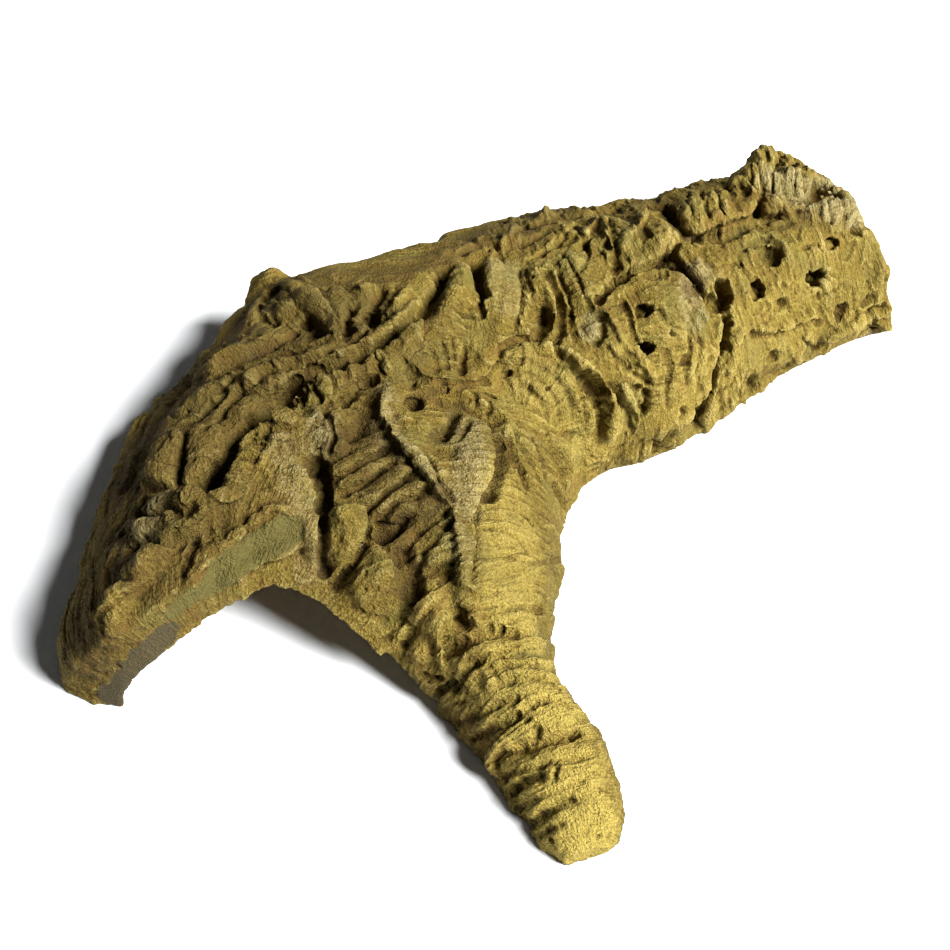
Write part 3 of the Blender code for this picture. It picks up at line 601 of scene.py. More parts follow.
PATCHES = listed(
    Patch,
    (PALE, 0.5, 6, (382, 388), (386, 412), (396, 432), (404, 440)),
    (PALE, 0.45, 4, (404, 440), (424, 466), (438, 490), (450, 508)),
    (PALE, 0.3, 6, (450, 508), (460, 530), (464, 555)),
    (PALE, 0.55, 11, (466, 432), (472, 460), (464, 500)),
    (PALE, 0.7, 9, (322, 425), (322, 446)),
    (PALE, 0.4, 9, (282, 446), (292, 476), (302, 500)),
    (PALE, 0.35, 8, (296, 500), (306, 540), (308, 572)),
    (PALE, 0.6, 8, (590, 330), (594, 322)),
    (PALE, 0.25, 12, (505, 270), (508, 300)),
    (PALE, 0.7, 13, (778, 180), (806, 194), (850, 208)),
    (PALE, 0.6, 11, (150, 500), (140, 535), (128, 560)),
    (PALE, 0.5, 9, (700, 270), (690, 290), (694, 320)),
    (CALM, 0.7, 8, (470, 430), (474, 460), (466, 490)),
    (CALM, 0.9, 8, (296, 480), (304, 520), (306, 560)),
    (CALM, 0.5, 9, (505, 270), (508, 300), (506, 330)),
    (CALM, 0.9, 7, (550, 280), (558, 300), (558, 330)),
    (CALM, 0.45, 18, (530, 370), (560, 390), (570, 420)),
    (CALM, 0.85, 19, (505, 525), (520, 560), (515, 590)),
    (CALM, 0.6, 12, (590, 820), (570, 850)),
    (STAIN, 0.9, 7, (426, 640), (420, 664)),
    (STAIN, 0.9, 6, (470, 622), (464, 634)),
    (STAIN, 0.7, 7, (240, 512), (262, 512), (288, 506)),
    (STAIN, 0.3, 9, (420, 384), (460, 390), (500, 384), (540, 366)),
    (STAIN, 0.6, 10, (400, 540), (420, 570), (420, 604)),
    (STAIN, 0.6, 8, (420, 690), (450, 720), (480, 740)),
    (STAIN, 0.6, 8, (668, 264), (684, 276), (694, 292)),
    (STAIN, 0.6, 9, (680, 230), (712, 238), (740, 206)),
    (STAIN, 0.6, 9, (752, 200), (780, 216), (830, 200)),
    (STAIN, 0.3, 8, (110, 610), (140, 580), (170, 556)),
    (STAIN, 0.5, 12, (440, 262), (480, 246), (540, 234)),
    # Gold patches: yellower cork with painted light on the lit branch, the shell and the right trunk.
    (GOLD, 0.7, 24, (510, 620), (530, 660), (542, 700)),
    (GOLD, 1, 26, (545, 725), (560, 770), (580, 835)),
    (GOLD, 0.3, 26, (540, 385), (575, 405), (590, 440)),
    (GOLD, 0.22, 26, (650, 350), (680, 390), (740, 350), (800, 310)),
    (GOLD, 1, 20, (520, 760), (545, 800), (560, 850)),
    (GOLD, 0.12, 22, (820, 260), (870, 280), (850, 310)),
    (GOLD, 0.5, 16, (420, 610), (430, 650), (480, 700)),
    (GOLD, 0.5, 22, (500, 500), (518, 545), (514, 590)),
    # Painted shade: these patches darken the left flank, the far corner, the bands and the recesses away from
    # the light.
    (DARK, 0.8, 24, (250, 320), (230, 350), (180, 390)),
    (DARK, 0.9, 26, (150, 440), (130, 500), (100, 580), (78, 650)),
    (DARK, 0.8, 26, (340, 310), (300, 345), (250, 380), (210, 420), (180, 450)),
    (DARK, 0.6, 26, (180, 450), (200, 480), (180, 520), (150, 560)),
    (DARK, 0.6, 20, (345, 430), (370, 470), (405, 505)),
    (DARK, 1, 8.5, (342, 446), (352, 430), (370, 428)),
    (DARK, 0.9, 4.5, (362, 492), (378, 480), (396, 470)),
    (DARK, 0.9, 4, (372, 462), (386, 454), (400, 448)),
    (DARK, 0.9, 7.5, (404, 522), (424, 506), (440, 494)),
    (DARK, 1, 5, (378, 540), (396, 526), (410, 518)),
    (DARK, 0.8, 8, (400, 545), (410, 570), (416, 600)),
    (DARK, 0.8, 6, (436, 438), (448, 432), (458, 412)),
    (DARK, 0.7, 6, (410, 406), (420, 400)),
    (DARK, 0.6, 7, (494, 434), (498, 456), (490, 496)),
    (DARK, 0.7, 6, (660, 262), (680, 262), (696, 286)),
    (DARK, 0.9, 9, (314, 466), (326, 490), (324, 520)),
    (DARK, 0.7, 4, (324, 520), (322, 570)),
    (DARK, 0.35, 22, (240, 500), (220, 560), (140, 640)),
    (DARK, 0.4, 22, (420, 330), (360, 380), (300, 420)),
    (STAIN, 0.5, 7, (418, 680), (444, 670), (472, 659)),
    (STAIN, 0.5, 6, (500, 752), (530, 742), (572, 734)),
    (STAIN, 0.5, 9, (440, 700), (470, 730), (500, 770)),
    # More painted shade along the far edge and the far corner.
    (DARK, 0.7, 16, (340, 280), (420, 262), (480, 236), (560, 214)),
    (DARK, 0.62, 24, (280, 290), (340, 310), (340, 360)),
    (DARK, 0.4, 12, (640, 204), (700, 184), (740, 164)),
    (SMOOTH_CUT, 1, 9.5, (214, 580), (236, 562), (262, 545), (286, 530)),
    (SMOOTH_CUT, 1, 6, (174, 612), (190, 598), (204, 590)),
    (ASHEN_CUT, 1, 9.5, (112, 698), (128, 680), (146, 656), (164, 634)),
)
HEALED = (
    (506, 372), (413, 406), (645, 314), (645, 350), (721, 301), (758, 291),
    (770, 256), (818, 280), (832, 244), (372, 318), (388, 531),
)
GRAINS = listed(
    Grain,
    (16, (463, 262), (458, 290), (448, 320), (440, 350), (438, 380)),
    (9, (504, 262), (508, 300), (506, 345)),
    (9, (545, 258), (552, 300), (545, 345)),
    (11, (572, 250), (590, 290), (612, 340)),
    (10, (430, 322), (400, 346), (370, 364), (338, 376), (312, 390), (292, 404)),
    (20, (505, 362), (545, 368), (580, 395), (592, 430)),
    (9, (300, 416), (276, 426), (252, 440), (240, 464), (228, 490)),
    (12, (148, 440), (176, 446), (200, 440)),
    (10, (676, 212), (712, 206), (750, 200)),
    (11, (742, 180), (775, 178), (812, 186)),
    (8, (806, 214), (832, 210), (858, 216)),
    (12, (660, 276), (664, 310), (668, 350), (668, 400)),
    (12, (130, 530), (160, 520), (190, 500)),
)


class Field:
    """Seeded smooth random fields, worked out for many places at once."""

    CORNERS = tuple((i, j, k) for i in (0, 1) for j in (0, 1) for k in (0, 1))
    AROUND = tuple((i, j, k) for i in (-1, 0, 1) for j in (-1, 0, 1) for k in (-1, 0, 1))
    AXIS_FACTORS = (374761393, 668265263, 2246822519)
    SEED_FACTOR = 7919
    SEED_START = 13
    MIXERS = ((13, 1274126177), (16, 2654435769))
    LAST_SHIFT = 15
    PART_SHIFTS = (0, 10, 20)
    PART_BITS = 1023
    PART_HALF = 511.5
    NAME_SHIFT = 8
    NAME_RANGE = 2.0**24
    WAVE_GAIN = 1.25
    SCATTER = 0.45
    FAR = 9.0

    @classmethod
    def scrambled(cls, cells: np.ndarray, seed: int) -> np.ndarray:
        """A whole number for each lattice cell, the same each run.

        Args:
            cells: Whole coordinates, one row each.
            seed: Which of the fields is read.

        Returns:
            One number for each cell.
        """
        cells = cells.astype(np.int64).astype(np.uint32)
        mixed = np.full(len(cells), seed * cls.SEED_FACTOR + cls.SEED_START, np.uint32)
        for column, factor in enumerate(cls.AXIS_FACTORS):
            mixed = mixed + cells[:, column] * np.uint32(factor)
        for shift, factor in cls.MIXERS:
            mixed = (mixed ^ (mixed >> np.uint32(shift))) * np.uint32(factor)
        return mixed ^ (mixed >> np.uint32(cls.LAST_SHIFT))

    @classmethod
    def spread(cls, mixed: np.ndarray) -> np.ndarray:
        """Three numbers from minus one to one for each scrambled number."""
        parts = [(mixed >> np.uint32(shift)) & np.uint32(cls.PART_BITS) for shift in cls.PART_SHIFTS]
        return np.stack(parts, axis=1).astype(np.float32) / cls.PART_HALF - 1.0

    @classmethod
    def waves(cls, places: np.ndarray, seed: int) -> np.ndarray:
        """Gradient noise of about minus one to one, with features one unit wide.

        Args:
            places: Places in units of the wanted feature size, one row each.
            seed: Which of the fields is read.

        Returns:
            One value for each place.
        """
        cell = np.floor(places)
        part = (places - cell).astype(np.float32)
        # The usual quintic, whose slope and bend are zero at both ends.
        ease = part * part * part * (part * (part * 6.0 - 15.0) + 10.0)
        total = np.zeros(len(places), np.float32)
        for corner in cls.CORNERS:
            offset = np.array(corner, np.float32)
            slope = cls.spread(cls.scrambled(cell + offset, seed))
            weight = np.prod(np.where(offset > 0, ease, 1.0 - ease), axis=1)
            total += weight * (slope * (part - offset)).sum(axis=1)
        return total * cls.WAVE_GAIN

    @classmethod
    def layered(cls, places: np.ndarray, seed: int, octaves: int = 3) -> np.ndarray:
        """Gradient noise summed over octaves of half the size and strength.

        Args:
            places: Places in units of the largest feature, one row each.
            seed: Which of the fields is read first.
            octaves: How many sizes are summed.

        Returns:
            One value for each place.
        """
        total = np.zeros(len(places), np.float32)
        for octave in range(octaves):
            total += cls.waves(places * 2.0**octave, seed + octave) / 2.0**octave
        return total

    @classmethod
    def cells(cls, places: np.ndarray, seed: int) -> tuple[np.ndarray, np.ndarray]:
        """Distances to the nearest of scattered centres.

        Args:
            places: Places in units of the wanted spacing, one row each.
            seed: Which of the fields is read.

        Returns:
            The nearest distance, and a number from zero to one for each nearest centre.
        """
        cell = np.floor(places)
        part = (places - cell).astype(np.float32)
        first = np.full(len(places), cls.FAR, np.float32)
        name = np.zeros(len(places), np.float32)
        for offset in cls.AROUND:
            step = np.array(offset, np.float32)
            mixed = cls.scrambled(cell + step, seed)
            centre = step + 0.5 + cls.SCATTER * cls.spread(mixed)
            apart = np.sqrt(((centre - part) ** 2).sum(axis=1))
            closer = apart < first
            first = np.where(closer, apart, first)
            number = (mixed >> np.uint32(cls.NAME_SHIFT)).astype(np.float32) / cls.NAME_RANGE
            name = np.where(closer, number, name)
        return first, name


def eased(low: float, high: float, values: np.ndarray) -> np.ndarray:
    """Smooth rise from zero at the low value to one at the high value."""
    share = np.clip((values - low) / (high - low), 0.0, 1.0)
    return share * share * (3.0 - 2.0 * share)


@dataclass(frozen=True)
class StemLine:
    """The run of one stem in plan, which gives places along it and around it."""

    points: Path
    radius: float
    axis_depth: float = 4.0

    def read(self, places: np.ndarray) -> tuple[np.ndarray, np.ndarray, np.ndarray]:
        """Where places lie on the stem.

        Args:
            places: Layout places, one row each.

        Returns:
            Length along the stem, length around it, and distance from its line in plan.
        """
        line = np.array(self.points, float)
        runs = np.diff(line, axis=0)
        lengths = np.linalg.norm(runs, axis=1)
        starts = np.concatenate([[0.0], np.cumsum(lengths)[:-1]])
        best = np.full(len(places), np.inf)
        along = np.zeros(len(places))
        lateral = np.zeros(len(places))
        for number, (start, run, length) in enumerate(zip(line[:-1], runs, lengths)):
            low = -math.inf if number == 0 else 0.0
            high = math.inf if number == len(runs) - 1 else 1.0
            apart = places[:, :2] - start
            share = np.clip(apart @ run / length**2, low, high)
            rest = apart - share[:, None] * run
            distance = np.linalg.norm(rest, axis=1)
            closer = distance < best
            best = np.where(closer, distance, best)
            along = np.where(closer, starts[number] + share * length, along)
            side = (run[0] * rest[:, 1] - run[1] * rest[:, 0]) / length
            lateral = np.where(closer, side, lateral)
        around = np.arctan2(lateral, places[:, 2] + self.axis_depth) * self.radius
        return along, around, best

    def nearest(self, along: np.ndarray) -> np.ndarray:
        """Points of the line in plan at lengths along it.

        Args:
            along: Lengths along the line.

        Returns:
            Places in plan, one row each.
        """
        points = np.array(self.points, float)
        lengths = np.concatenate([[0.0], np.cumsum(np.linalg.norm(np.diff(points, axis=0), axis=1))])
        return np.stack([np.interp(along, lengths, column) for column in points.T], axis=1)


TRUNK_LINE = StemLine(
    (
        (-109, -168), (-114, -113), (-101, -66), (-88, -24), (-70, 14), (-44, 42),
        (-10, 57), (34, 70), (78, 87), (125, 112), (165, 135), (196, 148),
    ),
    70.0,
)
BRANCH_LINE = StemLine(
    ((-23, -45), (-19, -79), (-11, -99), (0, -116), (12, -135), (27, -160), (39, -181), (48, -213)),
    38.0,
)


@dataclass(frozen=True)
class SawnFace:
    """The saw cut across the limb: place along X, place at the rim height, and lean back per height."""

    rows: tuple[tuple[float, float, float], ...] = (
        (-260.0, -120.0, 0.0),
        (-190.0, -128.0, 0.0),
        (-176.0, -134.0, 0.0),
        (-160.0, -137.0, 0.0),
        (-146.0, -135.0, 0.05),
        (-131.0, -128.0, 0.1),
        (-115.0, -118.0, 0.45),
        (-100.0, -111.0, 0.9),
        (-84.0, -107.0, 1.1),
        (-60.0, -104.0, 1.1),
        (80.0, -96.0, 1.0),
    )
    rim: float = 50.0
    right_end: float = -66.0
    far: float = 99.0

    def depth(self, places: np.ndarray) -> np.ndarray:
        """How far places lie behind the cut.

        Args:
            places: Layout places, one row each.

        Returns:
            The depth of each in millimetres, which is far for places beside the cut.
        """
        table = np.array(self.rows)
        face = np.interp(places[:, 0], table[:, 0], table[:, 1])
        lean = np.interp(places[:, 0], table[:, 0], table[:, 2])
        behind = (places[:, 1] - face - lean * (places[:, 2] - self.rim)) / np.sqrt(1.0 + lean**2)
        return np.where(places[:, 0] < self.right_end, behind, self.far)


@dataclass(frozen=True)
class Outside:
    """Tells the outer side of the bark and its sawn face from the hollow."""

    axis_height: float = 6.0
    face_depth: float = 2.5
    least_outward: float = 0.1
    cell: float = 2.0
    wall: float = 11.0

    def holds(self, places: np.ndarray, facing: np.ndarray) -> np.ndarray:
        """Which places lie on the outer side of the bark or on its sawn face.

        Args:
            places: Layout places on the broad form of the bark.
            facing: Directions in which the broad form faces there.

        Returns:
            Truth for each place.
        """
        outward = np.zeros_like(places)
        closest = np.full(len(places), np.inf)
        for line in (TRUNK_LINE, BRANCH_LINE):
            along, _, distance = line.read(places)
            nearer = distance < closest
            closest = np.where(nearer, distance, closest)
            outward[nearer, :2] = (places[:, :2] - line.nearest(along))[nearer]
        outward[:, 2] = places[:, 2] - self.axis_height
        toward = (outward * facing).sum(axis=1) / (np.linalg.norm(outward, axis=1) + TINY)
        sawn = SawnFace().depth(places) < self.face_depth
        shown = (toward > self.least_outward) | sawn | ~self.covered(places)
        return shown & (facing[:, 2] > UNDERSIDE)

    def covered(self, places: np.ndarray) -> np.ndarray:
        """Which places have a wall of bark straight above them.

        Args:
            places: Layout places on the bark.

        Returns:
            Truth for each place.
        """
        columns = np.floor((places[:, :2] - places[:, :2].min(axis=0)) / self.cell).astype(int)
        tops = np.zeros(columns.max(axis=0) + 1)
        np.maximum.at(tops, (columns[:, 0], columns[:, 1]), places[:, 2])
        return tops[columns[:, 0], columns[:, 1]] - places[:, 2] > self.wall


def rows_of(collection: bpy.types.bpy_prop_collection, name: str) -> np.ndarray:
    """One vector of each vertex, normal or face of a mesh.

    Args:
        collection: The vertices, normals or faces.
        name: Name of the vector.

    Returns:
        The vectors, one row each.
    """
    flat = np.empty(len(collection) * 3, np.float32)
    collection.foreach_get(name, flat)
    return flat.reshape(-1, 3).astype(float)


class BarkStock:
    """The fused bark as one closed mesh, which is meshed, smoothed and carved."""

    WELD = 0.01
    SMOOTHING = 0.5

    def __init__(self, layout: Layout, view: PhotoView) -> None:
        """Keep the frames that the stock is worked in.

        Args:
            layout: The photograph's frame.
            view: The photograph's camera.
        """
        self.layout = layout
        self.view = view
        self.object: bpy.types.Object | None = None

    @staticmethod
    def pick(*objects: bpy.types.Object) -> None:
        """Select only these objects and make the first one active."""
        bpy.ops.object.select_all(action="DESELECT")
        for one in objects:
            one.select_set(True)
        bpy.context.view_layer.objects.active = objects[0]

    @classmethod
    def apply(cls, target: bpy.types.Object, kind: str, **settings: object) -> None:
        """Add one modifier with its settings and apply it.

        Args:
            target: The object.
            kind: Kind of the modifier.
            settings: Values of the modifier by name.
        """
        cls.pick(target)
        step = target.modifiers.new(kind.lower(), kind)
        for name, value in settings.items():
            setattr(step, name, value)
        bpy.ops.object.modifier_apply(modifier=step.name)

    @classmethod
    def copied(cls, node: bpy.types.Object) -> bpy.types.Object:
        """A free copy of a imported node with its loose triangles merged.

        Args:
            node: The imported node.

        Returns:
            The copy.
        """
        copy = bpy.data.objects.new(node.name + "_stock", node.data.copy())
        bpy.context.scene.collection.objects.link(copy)
        cls.pick(copy)
        bpy.ops.object.mode_set(mode="EDIT")
        bpy.ops.mesh.select_all(action="SELECT")
        bpy.ops.mesh.remove_doubles(threshold=cls.WELD * MM)
        bpy.ops.object.mode_set(mode="OBJECT")
        return copy

    def places(self) -> np.ndarray:
        """Layout places of the vertices."""
        return self.layout.from_part(rows_of(self.object.data.vertices, "co"))

    def put(self, places: np.ndarray) -> None:
        """Move the vertices.

        Args:
            places: Their new layout places.
        """
        flat = self.layout.to_part(places).astype(np.float32).ravel()
        self.object.data.vertices.foreach_set("co", flat)
        self.object.data.update()

    def facing(self) -> np.ndarray:
        """Layout directions in which the surface faces at the vertices."""
        return self.layout.turned_from_part(rows_of(self.object.data.vertex_normals, "vector"))

    def softened(self, rounds: int) -> tuple[np.ndarray, np.ndarray]:
        """The surface after rounds of smoothing, with the mesh itself left as it is.

        Args:
            rounds: How often each vertex is drawn towards its neighbours.

        Returns:
            Layout places of the vertices and the directions in which the surface faces there.
        """
        step = self.object.modifiers.new("soften", "SMOOTH")
        step.factor = self.SMOOTHING
        step.iterations = rounds
        bpy.context.view_layer.update()
        shown = self.object.evaluated_get(bpy.context.evaluated_depsgraph_get()).data
        places = rows_of(shown.vertices, "co")
        facing = rows_of(shown.vertex_normals, "vector")
        self.object.modifiers.remove(step)
        return self.layout.from_part(places), self.layout.turned_from_part(facing)

    def fuse(self, trunk: bpy.types.Object, branch: bpy.types.Object, fork: "Fork", voxel: float) -> None:
        """Join copies of the two nodes across the fork gap and mesh them evenly.

        Args:
            trunk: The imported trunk.
            branch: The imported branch.
            fork: The plane between them.
            voxel: Edge length of the new mesh in millimetres.
        """
        limb = self.copied(branch)
        self.object = limb
        places = self.places()
        at_gap = np.abs(fork.ahead_of(places)) < fork.touch
        places[at_gap, :2] -= fork.ahead() * fork.overlap
        self.put(places)
        self.object = self.copied(trunk)
        self.pick(self.object, limb)
        bpy.ops.object.join()
        self.object.name = "bark_stock"
        self.mesh_evenly(voxel)

    def mesh_evenly(self, voxel: float) -> None:
        """Mesh the closed shape again with edges of one length in millimetres."""
        self.apply(self.object, "REMESH", mode="VOXEL", voxel_size=voxel * MM, adaptivity=0.0)

    def smooth(self, rounds: int, **settings: object) -> None:
        """Round off the facets and stair steps."""
        self.apply(self.object, "SMOOTH", factor=self.SMOOTHING, iterations=rounds, **settings)

    def heal(self, spots: np.ndarray, width: float, rounds: int) -> None:
        """Smooth the bark over round some spots.

        Args:
            spots: Layout places.
            width: Half width of the smoothed patch in millimetres.
            rounds: Rounds of smoothing.
        """
        group = self.object.vertex_groups.new(name="healed")
        places = self.places()
        for spot in spots:
            near = np.nonzero(np.linalg.norm(places - spot, axis=1) < width)[0]
            group.add(near.tolist(), 1.0, "REPLACE")
        self.smooth(rounds, vertex_group=group.name)
        self.object.vertex_groups.clear()


@dataclass(frozen=True)
class Fork:
    """A plane by two points in plan, which parts the piece on its right hand from the rest."""

    left: tuple[float, float]
    right: tuple[float, float]
    past_left: float = 500.0
    overlap: float = 3.0
    touch: float = 0.05

    def across(self) -> np.ndarray:
        """Direction in plan from the left point to the right one."""
        run = np.array(self.right) - np.array(self.left)
        return run / np.linalg.norm(run)

    def ahead(self) -> np.ndarray:
        """Direction in plan from the rest to the parted piece."""
        across = self.across()
        return np.array([across[1], -across[0]])

    def ahead_of(self, places: np.ndarray) -> np.ndarray:
        """How far places lie on the parted piece's side, in millimetres."""
        return (places[:, :2] - np.array(self.left)) @ self.ahead()

    def along(self, places: np.ndarray) -> np.ndarray:
        """How far places lie to the right of the left point, in millimetres."""
        return (places[:, :2] - np.array(self.left)) @ self.across()

    def spans(self, places: np.ndarray) -> np.ndarray:
        """Which places lie within the plane's reach past its left point."""
        return self.along(places) > -self.past_left


@dataclass(frozen=True)
class Reading:
    """Place of vertices against a line on the bark in millimetres, and the direction to its left."""

    distance: np.ndarray
    side: np.ndarray
    left: np.ndarray
    travelled: np.ndarray
    from_end: np.ndarray


class Carver:
    """Carves marks at photographed places into the stock and reads patches there."""

    SPACING = 4.0
    DEEPEST = 16.0
    WOBBLE_SIZE = 5.0
    WOBBLE_SEED = 31
    FRAY_SIZE = 2.4
    FRAY_SEED = 32
    REACH = 1.3
    MARGIN = 1.0
    SHORT_RUN = 1e-3
    WAVER = 0.3
    RAG = 0.35
    PIT_WAVER = 0.12
    PIT_RAG = 0.2
    PIT_STEEPNESS = 2.4
    DOME_POWER = 1.5
    CREASE_POWER = 1.4
    TAPER_START = -0.5
    TAPER_LENGTH = 1.1
    TAPER_WAVER = 0.4
    TAPER_RAG = 0.3
    EDGE_WAVER = 0.9
    EDGE_RAG = 0.35
    EDGE_SOFTNESS = 0.7
    LIP_LOSS = 0.25
    LIP_WIDTH = 1.5
    FOOT_DEPTH = 0.5
    FOOT_WIDTH = 0.28
    OVERHANG = 0.45
    OVERHANG_WIDTH = 0.2
    TONE_REACH = 1.5
    TONE_WAVER = 0.22
    TONE_RAG = 0.6
    TONE_EDGE = (0.5, 1.05)
    GRAIN_EDGE = (0.6, 1.1)

    def __init__(self, stock: BarkStock, broad_rounds: int, even_rounds: int) -> None:
        """Read the stock's surface once, for all marks that follow.

        Args:
            stock: The fused bark.
            broad_rounds: Rounds of smoothing that leave only the broad form, which tells outside from inside.
            even_rounds: Rounds of smoothing that even out the directions of the pushes.
        """
        self.stock = stock
        self.places = stock.places()
        self.facing = stock.softened(even_rounds)[1]
        self.outer = Outside().holds(*stock.softened(broad_rounds))
        self.tree = BVHTree.FromObject(stock.object, bpy.context.evaluated_depsgraph_get())
        self.wobble = Field.waves(self.places / self.WOBBLE_SIZE, self.WOBBLE_SEED)
        self.fray = Field.waves(self.places / self.FRAY_SIZE, self.FRAY_SEED)

    def sampled(self, path: Path) -> np.ndarray:
        """A smooth line of pixels through a path's pixels, which is a Catmull-Rom curve.

        Args:
            path: Pixels of the photograph.

        Returns:
            Pixels along the line, one row each.
        """
        points = np.array(path, float)
        if len(points) == 1:
            return points
        padded = np.concatenate([2 * points[:1] - points[1:2], points, 2 * points[-1:] - points[-2:-1]])
        line = []
        for before, start, end, after in zip(padded, padded[1:], padded[2:], padded[3:]):
            count = max(1, round(float(np.linalg.norm(end - start)) / self.SPACING))
            for step in range(count):
                t = step / count
                bend = 2 * start + (end - before) * t + (2 * before - 5 * start + 4 * end - after) * t**2
                line.append((bend + (3 * start - before - 3 * end + after) * t**3) / 2)
        line.append(points[-1])
        return np.array(line)

    def cast(self, path: Path) -> tuple[np.ndarray, np.ndarray]:
        """Where a path's rays meet the bark.

        Args:
            path: Pixels of the photograph.

        Returns:
            Layout places on the bark, and the directions in which it faces there.
        """
        layout, view = self.stock.layout, self.stock.view
        origin = Vector(layout.to_part(view.place()[None])[0])
        places = []
        facing = []
        for column, row in self.sampled(path):
            ray = Vector(layout.turned_to_part(view.ray(column, row)[None])[0])
            place, normal, _, _ = self.tree.ray_cast(origin, ray)
            if place is not None and place.z > 0.0:
                places.append(layout.from_part(np.array(place)[None])[0])
                facing.append(layout.turned_from_part(np.array(normal)[None])[0])
        return np.array(places).reshape(-1, 3), np.array(facing).reshape(-1, 3)

    def near(self, line: np.ndarray, reach: float) -> np.ndarray:
        """Outer vertices within a box round a line.

        Args:
            line: Layout places of the line.
            reach: How far past the line the box goes.

        Returns:
            Numbers of the vertices.
        """
        low = line.min(axis=0) - reach
        high = line.max(axis=0) + reach
        inside = np.all((self.places > low) & (self.places < high), axis=1)
        return np.nonzero(inside & self.outer)[0]

    def measured(self, line: np.ndarray, facing: np.ndarray, chosen: np.ndarray) -> Reading:
        """Place of vertices against a line on the bark.

        Args:
            line: Layout places of the line.
            facing: Direction in which the bark faces at each of them.
            chosen: Numbers of the vertices.

        Returns:
            Where the vertices lie.
        """
        spots = self.places[chosen]
        starts = line[:-1] if len(line) > 1 else line
        runs = np.diff(line, axis=0) if len(line) > 1 else np.array([[self.SHORT_RUN, 0.0, 0.0]])
        lengths = np.linalg.norm(runs, axis=1) + TINY
        before = np.concatenate([[0.0], np.cumsum(lengths)[:-1]])
        apart = spots[:, None, :] - starts[None]
        share = np.clip((apart * runs[None]).sum(axis=2) / lengths[None] ** 2, 0.0, 1.0)
        rest = apart - share[..., None] * runs[None]
        nearest = np.argmin((rest * rest).sum(axis=2), axis=1)
        rows = np.arange(len(chosen))
        rest = rest[rows, nearest]
        normal = facing[nearest]
        normal = normal / (np.linalg.norm(normal, axis=1, keepdims=True) + TINY)
        left = np.cross(normal, runs[nearest] / lengths[nearest][:, None])
        height = (rest * normal).sum(axis=1)
        flat = rest - height[:, None] * normal
        distance = np.linalg.norm(flat, axis=1) + np.maximum(np.abs(height) - self.DEEPEST / 2, 0.0)
        travelled = before[nearest] + share[rows, nearest] * lengths[nearest]
        from_end = np.minimum(travelled, lengths.sum() - travelled)
        return Reading(distance, (flat * left).sum(axis=1), left, travelled, from_end)

    def shaped(self, mark: Mark, chosen: np.ndarray, reading: Reading) -> tuple[np.ndarray, np.ndarray]:
        """How far one mark moves vertices.

        Args:
            mark: The mark.
            chosen: Numbers of the vertices.
            reading: Their places against its line.

        Returns:
            The push along the normal and the overhang towards the right, in millimetres.
        """
        wobble = self.wobble[chosen]
        fray = self.fray[chosen]
        distance = reading.distance
        over = np.zeros(len(chosen))
        if mark.form is Form.PIT:
            ragged = distance * (1.0 + self.PIT_WAVER * wobble) + self.PIT_RAG * fray
            return -mark.rise * np.clip(self.PIT_STEEPNESS * (1.0 - ragged / mark.width), 0.0, 1.0), over
        reach = distance * (1.0 + self.WAVER * wobble) + self.RAG * fray
        if mark.form is Form.LUMP:
            dome = 1.0 - np.clip(reach / mark.width, 0.0, 1.0) ** 2
            return mark.rise * dome**self.DOME_POWER, over
        share = np.clip(1.0 - reach / mark.width, 0.0, 1.0)
        run_out = reading.from_end + self.TAPER_WAVER * wobble + self.TAPER_RAG * fray
        taper = eased(self.TAPER_START, self.TAPER_LENGTH * mark.width, run_out)
        soft = share * share * (3.0 - 2.0 * share)
        if mark.form is Form.FURROW:
            return -mark.rise * soft * taper, over
        if mark.form is Form.CREASE:
            return -mark.rise * share**self.CREASE_POWER * taper, over
        if mark.form is Form.RIDGE:
            return mark.rise * soft * taper, over
        push, over = self.edged(mark, reading, wobble, fray)
        return push * taper, over * taper

    def edged(
        self, mark: Mark, reading: Reading, wobble: np.ndarray, fray: np.ndarray
    ) -> tuple[np.ndarray, np.ndarray]:
        """How far a step moves vertices, before it runs out at its ends.

        Args:
            mark: The step.
            reading: The vertices' places against its line.
            wobble: A slow random field at the vertices.
            fray: A quick random field at the vertices.

        Returns:
            The push along the normal and the overhang towards the right, in millimetres.
        """
        edge = reading.side + self.EDGE_WAVER * wobble + self.EDGE_RAG * fray
        inward = np.maximum(edge, 0.0)
        within = reading.distance < mark.width
        raised = eased(-self.EDGE_SOFTNESS, self.EDGE_SOFTNESS, edge)
        plateau = np.clip(1.0 - np.abs(edge) / mark.width, 0.0, 1.0)
        lip = 1.0 - self.LIP_LOSS * np.exp(-inward / self.LIP_WIDTH)
        upper = mark.rise * (1.0 - (1.0 - plateau) ** 2) * lip * raised
        foot = np.exp(-((np.minimum(edge, 0.0) / (self.FOOT_WIDTH * mark.width)) ** 2))
        lower = -self.FOOT_DEPTH * mark.rise * foot * (1.0 - raised)
        over = self.OVERHANG * mark.rise * np.exp(-inward / (self.OVERHANG_WIDTH * mark.width)) * raised
        return (upper + lower) * within, over * within

    def carve(self, marks: tuple[Mark, ...], boldness: float) -> None:
        """Carve all marks into the stock.

        Args:
            marks: The marks.
            boldness: Factor on their heights.
        """
        push = np.zeros(len(self.places))
        slide = np.zeros_like(self.places)
        for mark in marks:
            line, facing = self.cast(mark.path)
            chosen = self.near(line, mark.width * self.REACH + self.MARGIN) if len(line) else ()
            if len(chosen) == 0:
                LOG.info("a mark at %s misses the bark", mark.path[0])
                continue
            reading = self.measured(line, facing, chosen)
            rise, over = self.shaped(mark, chosen, reading)
            push[chosen] += rise
            slide[chosen] -= reading.left * over[:, None]
        self.stock.put(self.places + boldness * (self.facing * push[:, None] + slide))

